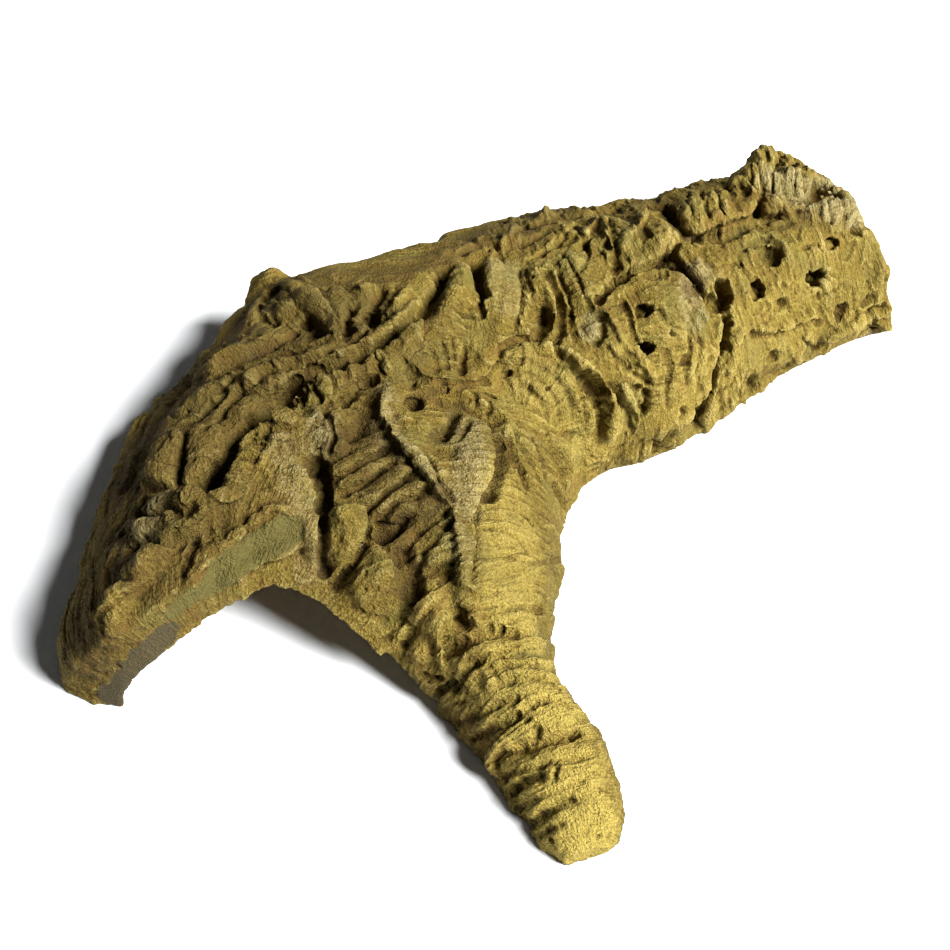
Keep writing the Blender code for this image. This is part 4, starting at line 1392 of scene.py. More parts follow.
    def toned(self, patches: tuple[Patch, ...], tone: Tone) -> np.ndarray:
        """Strength of one tone at each vertex.

        Args:
            patches: All patches.
            tone: The tone that is read.

        Returns:
            One strength from zero to one for each vertex.
        """
        strength = np.zeros(len(self.places))
        for patch in patches:
            line, facing = self.cast(patch.path) if patch.tone is tone else ((), ())
            if len(line) == 0:
                continue
            chosen = self.near(line, patch.width * self.TONE_REACH)
            distance = self.measured(line, facing, chosen).distance
            ragged = self.wobble[chosen] + self.TONE_RAG * self.fray[chosen]
            reach = distance + self.TONE_WAVER * patch.width * ragged
            inside = 1.0 - eased(*self.TONE_EDGE, reach / patch.width)
            strength[chosen] = np.maximum(strength[chosen], patch.strength * inside)
        return strength

    def grained(self, grains: tuple[Grain, ...]) -> tuple[np.ndarray, np.ndarray]:
        """Coordinates of the fine layers that cross the grains' lines.

        Args:
            grains: The lines.

        Returns:
            How far each vertex belongs to one of them, and its length along that line, side of it, and
            a number for the line.
        """
        share = np.zeros(len(self.places))
        coordinates = np.zeros_like(self.places)
        for number, grain in enumerate(grains):
            line, facing = self.cast(grain.path)
            if len(line) < 2:
                continue
            chosen = self.near(line, grain.width * self.REACH)
            reading = self.measured(line, facing, chosen)
            strength = 1.0 - eased(*self.GRAIN_EDGE, reading.distance / grain.width)
            stronger = strength > share[chosen]
            picked = chosen[stronger]
            share[picked] = strength[stronger]
            coordinates[picked, 0] = reading.travelled[stronger]
            coordinates[picked, 1] = reading.side[stronger]
            coordinates[picked, 2] = number + 0.5
        return share, coordinates


@dataclass(frozen=True)
class BarkRelief:
    """Growth relief all over the bark: swellings, terraces, stacked layers, flakes, crumbs and pits.

    Lengths are in millimetres, apart from the bend of layers, which counts in thicknesses of a
    layer. A pair of sizes lies along the stem and around it. The values named field count on from
    a stem's seed, so that each kind of relief reads a field of its own. All other values are
    factors, shares, steps through a field or the range of a field over which something fades in.
    """

    wander: float = 4.0
    wander_along: float = 33.0
    wander_around: float = 27.0
    ripple: float = 0.8
    ripple_size: float = 9.0
    swell_rise: float = 2.6
    swell_size: tuple[float, float] = (26.0, 38.0)
    swell_field: int = 3
    terrace_rise: float = 2.4
    terrace_size: tuple[float, float] = (12.0, 22.0)
    terrace_field: int = 50
    terrace_step: float = 1.25
    terrace_edge: float = 0.11
    flake_rise: float = 0.7
    flake_size: tuple[float, float] = (4.2, 9.0)
    flake_field: int = 30
    flake_step: float = 0.5
    flake_edge: float = 0.12
    flake_least: float = 0.4
    layer_field: int = 10
    layer_fields: int = 5
    layer_bend: float = 0.4
    layer_bend_size: float = 3.2
    layer_fray: float = 0.5
    layer_fray_size: float = 2.4
    layer_jump: float = 1.37
    layer_start: float = 0.31
    layer_run: float = 34.0
    layer_edge: float = 0.86
    layer_lean: float = 0.35
    layer_least: float = 0.25
    layer_gap_size: float = 24.0
    layer_gaps: tuple[float, float] = (-0.35, 0.3)
    pit_depth: float = 2.0
    pit_spacing: float = 9.0
    pit_waver: float = 0.12
    pit_waver_size: float = 2.6
    pit_from: float = 0.45
    pit_radii: tuple[float, float] = (0.05, 0.13)
    pit_steepness: float = 1.5
    crumb_rise: float = 0.55
    crumb_size: float = 2.5
    crumb_jump: float = 0.7
    crumb_dome: float = 1.5
    crumb_level: float = 0.2
    crumb_grit: float = 0.9
    crumb_grit_size: float = 1.5
    crumb_least: float = 0.45
    crumb_gap_size: float = 14.0
    crumb_gaps: tuple[float, float] = (-0.4, 0.3)
    inner_rise: float = 0.5
    inner_size: float = 14.0
    crust_rise: float = 1.6
    crust_size: float = 9.0

    @staticmethod
    def terraced(heights: np.ndarray, step: float, edge: float) -> np.ndarray:
        """Heights gathered into flat steps with steep edges between them.

        Args:
            heights: The heights.
            step: Height of one step.
            edge: Half the share of a step that its edge takes up.

        Returns:
            The stepped heights.
        """
        level = heights / step
        base = np.floor(level)
        return step * (base + eased(0.5 - edge, 0.5 + edge, level - base))

    @staticmethod
    def sheet(across: np.ndarray, girth: np.ndarray) -> np.ndarray:
        """Places on a flat sheet of a field, halfway between two of its cells."""
        return np.stack([across, girth, np.full(len(across), 0.5)], axis=1)

    def stacked(
        self, length: np.ndarray, girth: np.ndarray, places: np.ndarray, layer: tuple[float, float], seed: int
    ) -> np.ndarray:
        """Layers stacked along a length, each of which stands out by its own amount.

        Args:
            length: Length across the layers.
            girth: Length along them.
            places: Layout places.
            layer: Thickness and height.
            seed: Which of the fields is read.

        Returns:
            Push along the normal in millimetres.
        """
        thickness, rise = layer
        bend = self.layer_bend * Field.waves(places / (self.layer_bend_size * thickness), seed)
        fray = Field.waves(places / self.layer_fray_size, seed + 1)
        turns = length / thickness + bend + self.layer_fray / thickness * fray
        number = np.floor(turns)
        part = turns - number
        own, following = (
            Field.waves(
                self.sheet((number + step) * self.layer_jump + self.layer_start, girth / self.layer_run),
                seed + 2,
            )
            for step in (0, 1)
        )
        share = eased(self.layer_edge, 1.0, part)
        shown = eased(*self.layer_gaps, Field.waves(places / self.layer_gap_size, seed + 3))
        strength = self.layer_least + (1.0 - self.layer_least) * shown
        lean = self.layer_lean * part * (1.0 - share)
        return rise * (own + (following - own) * share - lean) * strength

    def on_stem(
        self, along: np.ndarray, around: np.ndarray, places: np.ndarray,
        layers: tuple[tuple[float, float], ...], blocky: float, seed: int,
    ) -> np.ndarray:
        """Relief of one stem.

        Args:
            along: Length along the stem.
            around: Length around it.
            places: Layout places.
            layers: Thickness and height of each kind of layer round the stem.
            blocky: Share of the swellings and terraces.
            seed: Which of the fields is read first.

        Returns:
            Push along the normal in millimetres.
        """
        wandered = self.wander * Field.waves(places / self.wander_along, seed)
        rippled = self.ripple * Field.waves(places / self.ripple_size, seed + 1)
        length = along + wandered + rippled
        girth = around + self.wander * Field.waves(places / self.wander_around, seed + 2)
        swell, terrace, flake = (
            Field.layered(self.sheet(length / size[0], girth / size[1]), seed + field, octaves)
            for size, field, octaves in (
                (self.swell_size, self.swell_field, 2),
                (self.terrace_size, self.terrace_field, 3),
                (self.flake_size, self.flake_field, 2),
            )
        )
        terraces = self.terraced(self.terrace_rise * terrace, self.terrace_step, self.terrace_edge)
        rise = blocky * (self.swell_rise * swell + terraces)
        for number, layer in enumerate(layers):
            field = self.layer_field + self.layer_fields * number
            rise += self.stacked(length, girth, places, layer, seed + field)
        flakes = self.terraced(self.flake_rise * flake, self.flake_step, self.flake_edge)
        return rise + (self.flake_least + (1.0 - self.flake_least) * blocky) * flakes

    def pits(self, places: np.ndarray, seed: int) -> np.ndarray:
        """Small scattered holes.

        Args:
            places: Layout places.
            seed: Which of the fields is read first.

        Returns:
            Push along the normal in millimetres.
        """
        waver = self.pit_waver * Field.waves(places / self.pit_waver_size, seed)[:, None]
        nearest, name = Field.cells(places / self.pit_spacing + waver, seed + 1)
        least, more = self.pit_radii
        radius = least + more * eased(self.pit_from, 1.0, name)
        depth = np.clip(self.pit_steepness * (1.0 - nearest / radius), 0.0, 1.0) * (name > self.pit_from)
        return -self.pit_depth * depth

    def crumbs(self, places: np.ndarray, seed: int) -> np.ndarray:
        """Granular broken surface of the cork.

        Args:
            places: Layout places.
            seed: Which of the fields is read first.

        Returns:
            Push along the normal in millimetres.
        """
        nearest, name = Field.cells(places / self.crumb_size, seed)
        grains = self.crumb_jump * (name - 0.5) - self.crumb_dome * (nearest * nearest - self.crumb_level)
        shown = eased(*self.crumb_gaps, Field.waves(places / self.crumb_gap_size, seed + 1))
        strength = self.crumb_least + (1.0 - self.crumb_least) * shown
        grit = self.crumb_grit * Field.waves(places / self.crumb_grit_size, seed + 2)
        return self.crumb_rise * (grains + grit) * strength


class BarkDresser:
    """Works out the growth relief and writes the attributes that the finish and the splitter read."""

    BROAD_ROUNDS = 130
    EVEN_ROUNDS = 10
    TRUNK_LAYERS = ((9.0, 1.2), (3.0, 0.7))
    BRANCH_LAYERS = ((7.4, 2.0), (3.0, 1.5), (1.5, 0.6))
    PATCH_LAYERS = ((8.0, 0.9), (2.6, 1.2))
    TRUNK_BLOCKS = 1.0
    BRANCH_BLOCKS = 0.4
    PATCH_BLOCKS = 0.7
    TRUNK_SEED = 100
    BRANCH_SEED = 200
    PIT_SEED = 300
    CRUMB_SEED = 400
    INNER_SEED = 500
    CRUST_SEED = 700
    PATCH_SEED = 900
    FORK_BLEND = (-12.0, 22.0)
    LIMB_SHARE = 0.9
    LIMB_BLEND = (-70.0, 10.0)
    LIMB_LEVEL = 60.5
    FACE_BLEND = (0.8, 2.2)
    CUT_BLEND = (0.35, 0.65)
    CALMING = 0.8
    CRUST_COVER = 0.6
    CRISP_LOSS = 0.4
    CRISP_BLEND = (-120.0, 80.0)
    BRANCH_CRUMB_LOSS = 0.45
    LEAST_CRUMBS = 0.22
    FOOT_BLEND = (-0.5, 3.0)
    # Rounds of smoothing, height that counts as proud, and weight, from the finest surroundings on.
    SURROUNDINGS = ((4, 0.40, 0.26), (20, 1.2, 0.44), (100, 3.0, 0.46))
    RAISED = "raised"

    def __init__(self, stock: BarkStock, relief: BarkRelief) -> None:
        """Keep the stock and the relief's sizes."""
        self.stock = stock
        self.relief = relief

    def dress(self, low: np.ndarray, high: np.ndarray) -> None:
        """Work out the relief within the box, and write it and the tones as attributes.

        Args:
            low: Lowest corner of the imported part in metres.
            high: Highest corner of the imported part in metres.
        """
        stock, relief = self.stock, self.relief
        carver = Carver(stock, self.BROAD_ROUNDS, self.EVEN_ROUNDS)
        places, facing, outer = carver.places, carver.facing, carver.outer
        tones = {tone: carver.toned(PATCHES, tone) for tone in Tone}
        patch_share, patch_grain = carver.grained(GRAINS)
        trunk_along, trunk_around, trunk_distance = TRUNK_LINE.read(places)
        branch_along, branch_around, branch_distance = BRANCH_LINE.read(places)
        branch_share = eased(*self.FORK_BLEND, trunk_distance - branch_distance)
        near_mouth = 1.0 - eased(*self.LIMB_BLEND, places[:, 1])
        limb_share = self.LIMB_SHARE * near_mouth * (1.0 - branch_share)
        limb = limb_share > patch_share
        patch_share = np.where(limb, limb_share, patch_share)
        level = np.full(len(places), self.LIMB_LEVEL)
        patch_grain[limb] = np.stack([trunk_around, trunk_along, level], axis=1)[limb]

        on_face = 1.0 - eased(*self.FACE_BLEND, SawnFace().depth(places))
        cut = np.maximum(tones[SMOOTH_CUT], tones[ASHEN_CUT])
        clean_cut = on_face * eased(*self.CUT_BLEND, cut)
        rough = outer * (1.0 - clean_cut) * (1.0 - self.CALMING * tones[CALM])
        crust = on_face * (1.0 - clean_cut)
        on_trunk = relief.on_stem(
            trunk_along, trunk_around, places, self.TRUNK_LAYERS, self.TRUNK_BLOCKS, self.TRUNK_SEED
        )
        on_branch = relief.on_stem(
            branch_along, branch_around, places, self.BRANCH_LAYERS, self.BRANCH_BLOCKS, self.BRANCH_SEED
        )
        along, across, _ = patch_grain.T
        crossed = relief.on_stem(
            along, across, places, self.PATCH_LAYERS, self.PATCH_BLOCKS, self.PATCH_SEED
        )
        rise = (1.0 - branch_share) * on_trunk
        rise += branch_share * on_branch
        rise += (crossed - rise) * patch_share
        rise += relief.pits(places, self.PIT_SEED)
        broken = Field.layered(places / relief.crust_size, self.CRUST_SEED, 4)
        rise = rise * (1.0 - self.CRUST_COVER * crust) + crust * relief.crust_rise * broken
        crisp = 1.0 - self.CRISP_LOSS * eased(*self.CRISP_BLEND, places[:, 1])
        crumbled = crisp * (1.0 - self.BRANCH_CRUMB_LOSS * branch_share)
        crumbs = (self.LEAST_CRUMBS + (1.0 - self.LEAST_CRUMBS) * rough) * crumbled
        push = rough * rise + crumbs * relief.crumbs(places, self.CRUMB_SEED)
        waves = Field.layered(places / relief.inner_size, self.INNER_SEED)
        push += (1.0 - outer) * relief.inner_rise * waves
        push *= np.where(facing[:, 2] < UNDERSIDE, eased(*self.FOOT_BLEND, places[:, 2]), 1.0)

        part = np.clip(stock.layout.to_part(places + facing * push[:, None]), low, high)
        stock.put(stock.layout.from_part(part))
        self.write_relief()
        stock.put(places)
        values = {
            self.RAISED: part,
            "trunk_grain": np.stack([trunk_along, trunk_around, places[:, 2]], axis=1) * MM,
            "branch_grain": np.stack([branch_along, branch_around, places[:, 2]], axis=1) * MM,
            "patch_grain": patch_grain * MM,
            "branch_share": branch_share,
            "crisp": crisp,
            "patch_share": patch_share,
            "sawn": on_face * tones[SMOOTH_CUT],
            "ashen": on_face * tones[ASHEN_CUT],
            "crust": crust,
            "inner": 1.0 - np.maximum(outer, on_face),
            # These include the painted shade patches and the gold patches with their painted light.
            **{tone.name.lower(): tones[tone] for tone in (PALE, STAIN, GOLD, DARK)},
        }
        for name, value in values.items():
            self.write(name, value)

    def write_relief(self) -> None:
        """Write how far each vertex stands proud of its surroundings, which the finish shows partly as
        painted shade and highlight.
        """
        places = self.stock.places()
        facing = self.stock.facing()
        total = np.zeros(len(places))
        for rounds, height, weight in self.SURROUNDINGS:
            proud = ((places - self.stock.softened(rounds)[0]) * facing).sum(axis=1)
            total += weight * np.tanh(proud / height)
        self.write("relief", 0.5 + 0.5 * np.clip(total, -1.0, 1.0))

    def write(self, name: str, values: np.ndarray) -> None:
        """Store one value or vector for each vertex.

        Args:
            name: Name of the attribute.
            values: One row for each vertex.
        """
        kind, field = ("FLOAT_VECTOR", "vector") if values.ndim == 2 else ("FLOAT", "value")
        entry = self.stock.object.data.attributes.new(name, kind, "POINT")
        entry.data.foreach_set(field, values.astype(np.float32).ravel())

    @classmethod
    def raise_relief(cls, piece: bpy.types.Object) -> None:
        """Move a piece's vertices to where the relief puts them.

        Args:
            piece: A parted piece, whose raised places are an attribute.
        """
        mesh = piece.data
        flat = np.empty(len(mesh.vertices) * 3, np.float32)
        mesh.attributes[cls.RAISED].data.foreach_get("vector", flat)
        mesh.vertices.foreach_set("co", flat)
        mesh.attributes.remove(mesh.attributes[cls.RAISED])
        mesh.update()


def triangles_of(piece: bpy.types.Object) -> int:
    """How many triangles a piece has."""
    return sum(len(face.vertices) - 2 for face in piece.data.polygons)


class Splitter:
    """Parts the dressed stock along planes into closed pieces."""

    BAND = 5.0
    SEAM = "seam"

    def __init__(self, stock: BarkStock) -> None:
        """Keep the stock."""
        self.stock = stock

    def choose_faces(self, chosen: np.ndarray) -> None:
        """Select only some faces of the stock.

        Args:
            chosen: Truth for each face.
        """
        mesh = self.stock.object.data
        for group in (mesh.vertices, mesh.edges):
            group.foreach_set("select", np.zeros(len(group), bool))
        mesh.polygons.foreach_set("select", chosen)

    def centres(self) -> np.ndarray:
        """Layout places of the face centres."""
        return self.stock.layout.from_part(rows_of(self.stock.object.data.polygons, "center"))

    def part(self, plane: Fork, name: str) -> bpy.types.Object:
        """Part the piece on the right hand of a plane from the stock.

        Args:
            plane: The plane.
            name: Name of the parted piece.

        Returns:
            The piece, which is closed with a flat cap.
        """
        stock = self.stock
        bpy.context.tool_settings.mesh_select_mode = (False, False, True)
        stock.pick(stock.object)
        centres = self.centres()
        self.choose_faces((np.abs(plane.ahead_of(centres)) < self.BAND) & plane.spans(centres))
        bpy.ops.object.mode_set(mode="EDIT")
        spot = stock.layout.to_part(np.array([[*plane.left, 0.0]]))[0]
        across = stock.layout.turned_to_part(np.array([[*plane.ahead(), 0.0]]))[0]
        bpy.ops.mesh.bisect(plane_co=spot, plane_no=across)
        bpy.ops.object.mode_set(mode="OBJECT")
        centres = self.centres()
        self.choose_faces((plane.ahead_of(centres) > 0.0) & plane.spans(centres))
        bpy.ops.object.mode_set(mode="EDIT")
        bpy.ops.mesh.separate(type="SELECTED")
        bpy.ops.object.mode_set(mode="OBJECT")
        piece = next(one for one in bpy.context.selected_objects if one is not stock.object)
        piece.name = name
        for side in (piece, stock.object):
            self.mark_seam(side)
            self.cap(side)
        return piece

    def mark_seam(self, piece: bpy.types.Object) -> None:
        """Gather the vertices of a piece's open seam in a group, so that thinning leaves them alone.

        Args:
            piece: The piece, before its seam is closed.
        """
        mesh = piece.data
        edges = np.empty(len(mesh.loops), np.int32)
        mesh.loops.foreach_get("edge_index", edges)
        ends = np.empty(len(mesh.edges) * 2, np.int32)
        mesh.edges.foreach_get("vertices", ends)
        is_open = np.bincount(edges, minlength=len(mesh.edges)) == 1
        seam = np.unique(ends.reshape(-1, 2)[is_open])
        group = piece.vertex_groups.get(self.SEAM) or piece.vertex_groups.new(name=self.SEAM)
        group.add(seam.tolist(), 1.0, "REPLACE")

    def thin(self, piece: bpy.types.Object, most: int) -> None:
        """Bring one piece under a number of triangles, with its seams kept.

        Args:
            piece: The piece.
            most: The number of triangles.
        """
        triangles = triangles_of(piece)
        if triangles > most:
            self.stock.apply(
                piece, "DECIMATE", decimate_type="COLLAPSE", ratio=most / triangles,
                vertex_group=self.SEAM, invert_vertex_group=True,
            )
        piece.vertex_groups.clear()

    def cap(self, piece: bpy.types.Object) -> None:
        """Close the open seams of one piece.

        Args:
            piece: The piece.
        """
        self.stock.pick(piece)
        bpy.context.tool_settings.mesh_select_mode = (False, True, False)
        bpy.ops.object.mode_set(mode="EDIT")
        bpy.ops.mesh.select_all(action="DESELECT")
        bpy.ops.mesh.select_non_manifold(
            extend=False, use_wire=False, use_boundary=True, use_multi_face=False,
            use_non_contiguous=False, use_verts=False,
        )
        bpy.ops.mesh.fill(use_beauty=True)
        bpy.ops.object.mode_set(mode="OBJECT")


class Bench:
    """Node tree of one material, with a short call for each kind of node that the finishes use."""

    # The mix node's sockets go by number, because several of them share a name.
    SHARE = 0
    VALUES = (2, 3)
    COLOURS = (6, 7)
    VALUE_OUT = 0
    COLOUR_OUT = 2

    def __init__(self, name: str) -> None:
        """Start a material with its shader.

        Args:
            name: Name of the material.
        """
        self.material = bpy.data.materials.new(name)
        self.material.use_nodes = True
        self.tree = self.material.node_tree
        self.shader = self.tree.nodes["Principled BSDF"]

    def feed(self, node: bpy.types.Node, inputs: dict[str | int, object]) -> None:
        """Link values into a node's sockets, or set plain ones.

        Args:
            node: The node.
            inputs: Sockets of other nodes or plain values, by the name or number of the socket.
        """
        for name, value in inputs.items():
            socket = node.inputs[name]
            if isinstance(value, Socket):
                self.tree.links.new(value, socket)
            elif socket.type == "RGBA":
                socket.default_value = (*value, 1.0)
            else:
                socket.default_value = value

    def add(self, kind: str, inputs: dict[str | int, object], **settings: object) -> bpy.types.Node:
        """A new node.

        Args:
            kind: Kind of the node.
            inputs: What its sockets take in.
            settings: Its other values by name.

        Returns:
            The node.
        """
        node = self.tree.nodes.new(kind)
        for name, value in settings.items():
            setattr(node, name, value)
        self.feed(node, inputs)
        return node

    def attribute(self, name: str, output: str = "Fac") -> Socket:
        """One of the mesh's own attributes."""
        node = self.add("ShaderNodeAttribute", {}, attribute_type="GEOMETRY", attribute_name=name)
        return node.outputs[output]

    def object_place(self) -> Socket:
        """Object coordinates."""
        return self.add("ShaderNodeTexCoord", {}).outputs["Object"]

    def stretched(self, place: Socket, scale: tuple[float, float, float]) -> Socket:
        """Coordinates scaled apart along each axis."""
        return self.add("ShaderNodeMapping", {"Vector": place, "Scale": scale}).outputs["Vector"]

    def noise(self, place: Socket, scale: float, detail: float = 3.0, roughness: float = 0.6) -> Socket:
        """Fractal noise from zero to one."""
        inputs = {"Vector": place, "Scale": scale, "Detail": detail, "Roughness": roughness}
        return self.add("ShaderNodeTexNoise", inputs).outputs["Fac"]

    def granules(self, place: Socket, scale: float, reach: float) -> Socket:
        """Height of packed rounded grains, which is zero past a reach from their middles."""
        node = self.add("ShaderNodeTexVoronoi", {"Vector": place, "Scale": scale}, feature="F1")
        return self.ranged(node.outputs["Distance"], 0.0, reach, 1.0, 0.0)

    def blended(self, share: object, first: object, second: object) -> Socket:
        """Two values mixed.

        Args:
            share: Share of the second value.
            first: The first value.
            second: The second value.

        Returns:
            The mixed value.
        """
        inputs = {self.SHARE: share, **dict(zip(self.VALUES, (first, second)))}
        node = self.add("ShaderNodeMix", inputs, data_type="FLOAT", clamp_factor=True)
        return node.outputs[self.VALUE_OUT]

    def mixed(self, share: object, first: object, second: object) -> Socket:
        """Two colours mixed.

        Args:
            share: Share of the second colour.
            first: The first colour.
            second: The second colour.

        Returns:
            The mixed colour.
        """
        inputs = {self.SHARE: share, **dict(zip(self.COLOURS, (first, second)))}
        node = self.add("ShaderNodeMix", inputs, data_type="RGBA", clamp_factor=True)
        return node.outputs[self.COLOUR_OUT]

    def ranged(
        self, value: Socket, low: float, high: float, to_low: float = 0.0, to_high: float = 1.0
    ) -> Socket:
        """A value mapped from one range to another and clamped."""
        inputs = {"Value": value, "From Min": low, "From Max": high, "To Min": to_low, "To Max": to_high}
        return self.add("ShaderNodeMapRange", inputs, clamp=True).outputs["Result"]

    def stepped(self, value: Socket, low: float, high: float, steps: float) -> Socket:
        """A value gathered into flat steps from zero to one between two ends."""
        inputs = {"Value": value, "From Min": low, "From Max": high, "Steps": steps}
        return self.add(
            "ShaderNodeMapRange", inputs, clamp=True, interpolation_type="STEPPED"
        ).outputs["Result"]

    def maths(self, operation: str, first: object, second: object) -> Socket:
        """One sum of two values."""
        return self.add("ShaderNodeMath", {0: first, 1: second}, operation=operation).outputs["Value"]

    def times(self, first: object, second: object) -> Socket:
        """Two values multiplied."""
        return self.maths("MULTIPLY", first, second)

    def ramp(self, value: Socket, stops: tuple[tuple[float, Colour], ...]) -> Socket:
        """Colours along a value.

        Args:
            value: The value.
            stops: Place and colour of each stop.

        Returns:
            The colour.
        """
        node = self.add("ShaderNodeValToRGB", {"Fac": value})
        elements = node.color_ramp.elements
        for number, (place, colour) in enumerate(stops):
            stop = elements[number] if number < 2 else elements.new(place)
            stop.position = place
            stop.color = (*colour, 1.0)
        return node.outputs["Color"]

    def bumped(self, height: Socket, depth: float) -> None:
        """Give the shader a bump of a depth in millimetres from a height."""
        node = self.add("ShaderNodeBump", {"Strength": 1.0, "Distance": depth * MM, "Height": height})
        self.feed(self.shader, {"Normal": node.outputs["Normal"]})


@dataclass(frozen=True)
class CorkFinish:
    """Dull ochre cork: darker in its furrows, straw on its crests, with grey crust, stains and a sawn face.

    The darker furrows and straw crests are partly the cork's own tone and partly painted shade and highlight.
    The level's shares are those of the speckle, the lines, the mottle, the granules and the flakes.
    The bump's depths are those of the grit, the lines, the granules and the flakes.
    """

    # Ramp colours from hollow to crest: partly the cork's own tone, partly painted shade and painted
    # highlight.
    crevice_tint_and_shade: Colour = (0.033, 0.021, 0.007)
    hollow: Colour = (0.085, 0.055, 0.010)
    body: Colour = (0.167, 0.120, 0.022)
    crest_tint_and_highlight: Colour = (0.350, 0.280, 0.094)
    stops: tuple[float, ...] = (0.06, 0.28, 0.55, 0.88)
    grey_crust: Colour = (0.320, 0.276, 0.146)
    rust: Colour = (0.127, 0.067, 0.016)
    moss: Colour = (0.127, 0.118, 0.033)
    # Yellow cork laid only on proud places, partly as painted light.
    gold: Colour = (0.440, 0.332, 0.072)
    # Colour of the painted shade.
    damp: Colour = (0.048, 0.029, 0.009)
    smooth_cut: Colour = (0.104, 0.090, 0.026)
    ashen_cut: Colour = (0.062, 0.051, 0.026)
    inner_bark: Colour = (0.165, 0.114, 0.054)
    level_shares: tuple[float, ...] = (0.52, 0.50, 0.22, 0.20, 0.16)
    gold_and_highlight_lift: float = 0.12
    gold_and_highlight_share: float = 0.75
    stain_share: float = 0.7
    painted_shade_colour_share: float = 0.72
    crossing_share: float = 0.3
    line_scale: tuple[float, float, float] = (760.0, 50.0, 50.0)
    crossing_scale: tuple[float, float, float] = (110.0, 700.0, 50.0)
    flake_scale: tuple[float, float, float] = (230.0, 120.0, 120.0)
    bump_depths: tuple[float, ...] = (1.0, 2.4, 0.5, 1.0)
    bump: float = 1.8
    roughness: float = 0.95
    shine: float = 0.10

    def made(self) -> bpy.types.Material:
        """The material of all pieces.

        Returns:
            The material.
        """
        bench = Bench("cork_bark")
        place = bench.object_place()
        cloud = bench.noise(place, scale=42.0)
        mottle = bench.noise(place, scale=150.0)
        speckle = bench.noise(place, scale=480.0, roughness=0.7)
        grit = bench.noise(place, scale=1300.0, detail=2.0)
        granules = bench.granules(place, scale=760.0, reach=0.9)
        crisp = bench.attribute("crisp")
        lines, flakes = self.growth_lines(bench)
        # The relief and the fields that also shape the bump drive the colour ramp. Hollows come out darker
        # and crests lighter, partly own tone and partly painted shade and highlight.
        level = bench.attribute("relief")
        for field, share in zip((speckle, lines, mottle, granules, flakes), self.level_shares):
            swing = bench.times(bench.maths("SUBTRACT", field, 0.5), share)
            level = bench.maths("ADD", level, bench.times(swing, crisp))
        # The gold patches lift the level towards the crest colour, as a painted highlight.
        level = bench.maths("ADD", level, bench.times(bench.attribute("gold"), self.gold_and_highlight_lift))
        proud = bench.ranged(level, low=0.28, high=0.60)
        tints = (self.crevice_tint_and_shade, self.hollow, self.body, self.crest_tint_and_highlight)
        colour = bench.ramp(level, tuple(zip(self.stops, tints)))

        rusty = bench.ranged(mottle, low=0.50, high=0.68, to_high=0.50)
        mossy = bench.ranged(cloud, low=0.50, high=0.34, to_high=0.40)
        gold = bench.times(bench.attribute("gold"), self.gold_and_highlight_share)
        patchy = bench.ranged(mottle, low=0.35, high=0.60, to_low=0.2, to_high=0.9)
        stained = bench.times(bench.attribute("stain"), patchy)
        flecked = bench.ranged(speckle, low=0.35, high=0.60, to_low=0.3, to_high=0.9)
        pale = bench.times(bench.attribute("pale"), flecked)
        rim = bench.ranged(mottle, low=0.42, high=0.66, to_high=0.36)
        layers = (
            (rusty, self.rust),
            (mossy, self.moss),
            # Gold on proud places only: yellower cork and painted light.
            (bench.times(gold, proud), self.gold),
            (bench.times(stained, self.stain_share), self.rust),
            (bench.times(pale, proud), self.grey_crust),
            # Painted shade where its patches lie.
            (bench.times(bench.attribute("dark"), self.painted_shade_colour_share), self.damp),
            (bench.times(bench.attribute("crust"), rim), self.rust),
        )
        for share, tint in layers:
            colour = bench.mixed(share, colour, tint)
        cuts = (("sawn", self.smooth_cut), ("ashen", self.ashen_cut), ("inner", self.inner_bark))
        dotted = bench.ranged(speckle, low=0.50, high=0.72, to_high=0.55)
        for name, tint in cuts:
            cut = bench.mixed(dotted, tint, self.hollow)
            colour = bench.mixed(bench.ranged(bench.attribute(name), low=0.30, high=0.66), colour, cut)
        specks = bench.times(bench.ranged(grit, low=0.50, high=0.66, to_high=0.55), crisp)
        colour = bench.mixed(specks, colour, self.hollow)

        height = speckle
        for field, depth in zip((grit, lines, granules, flakes), self.bump_depths):
            height = bench.maths("ADD", height, bench.times(field, depth))
        bench.bumped(bench.times(height, crisp), self.bump)
        looks = {"Base Color": colour, "Roughness": self.roughness, "Specular IOR Level": self.shine}
        bench.feed(bench.shader, looks)
        return bench.material

    def growth_lines(self, bench: Bench) -> tuple[Socket, Socket]:
        """Fine layers and flat flakes that follow the stems and the grains.

        Args:
            bench: The material's node tree.

        Returns:
            The layers, with weaker lines across them, and the flakes, both from zero to one.
        """
        layers = []
        flakes = []
        for name in ("trunk_grain", "branch_grain", "patch_grain"):
            grain = bench.attribute(name, "Vector")
            along = bench.noise(bench.stretched(grain, self.line_scale), scale=1.0, roughness=0.65)
            crossing = bench.noise(bench.stretched(grain, self.crossing_scale), scale=1.0, detail=2.0)
            layers.append(bench.blended(self.crossing_share, along, crossing))
            plates = bench.stretched(grain, self.flake_scale)
            patches = bench.noise(plates, scale=1.0, detail=5.0, roughness=0.62)
            flakes.append(bench.stepped(patches, low=0.25, high=0.75, steps=9.0))
        return self.followed(bench, layers), self.followed(bench, flakes)

    def followed(self, bench: Bench, fields: list[Socket]) -> Socket:
        """The field of the trunk, the branch or a grain, whichever a place belongs to."""
        stems = bench.blended(bench.attribute("branch_share"), fields[0], fields[1])
        return bench.blended(bench.attribute("patch_share"), stems, fields[2])


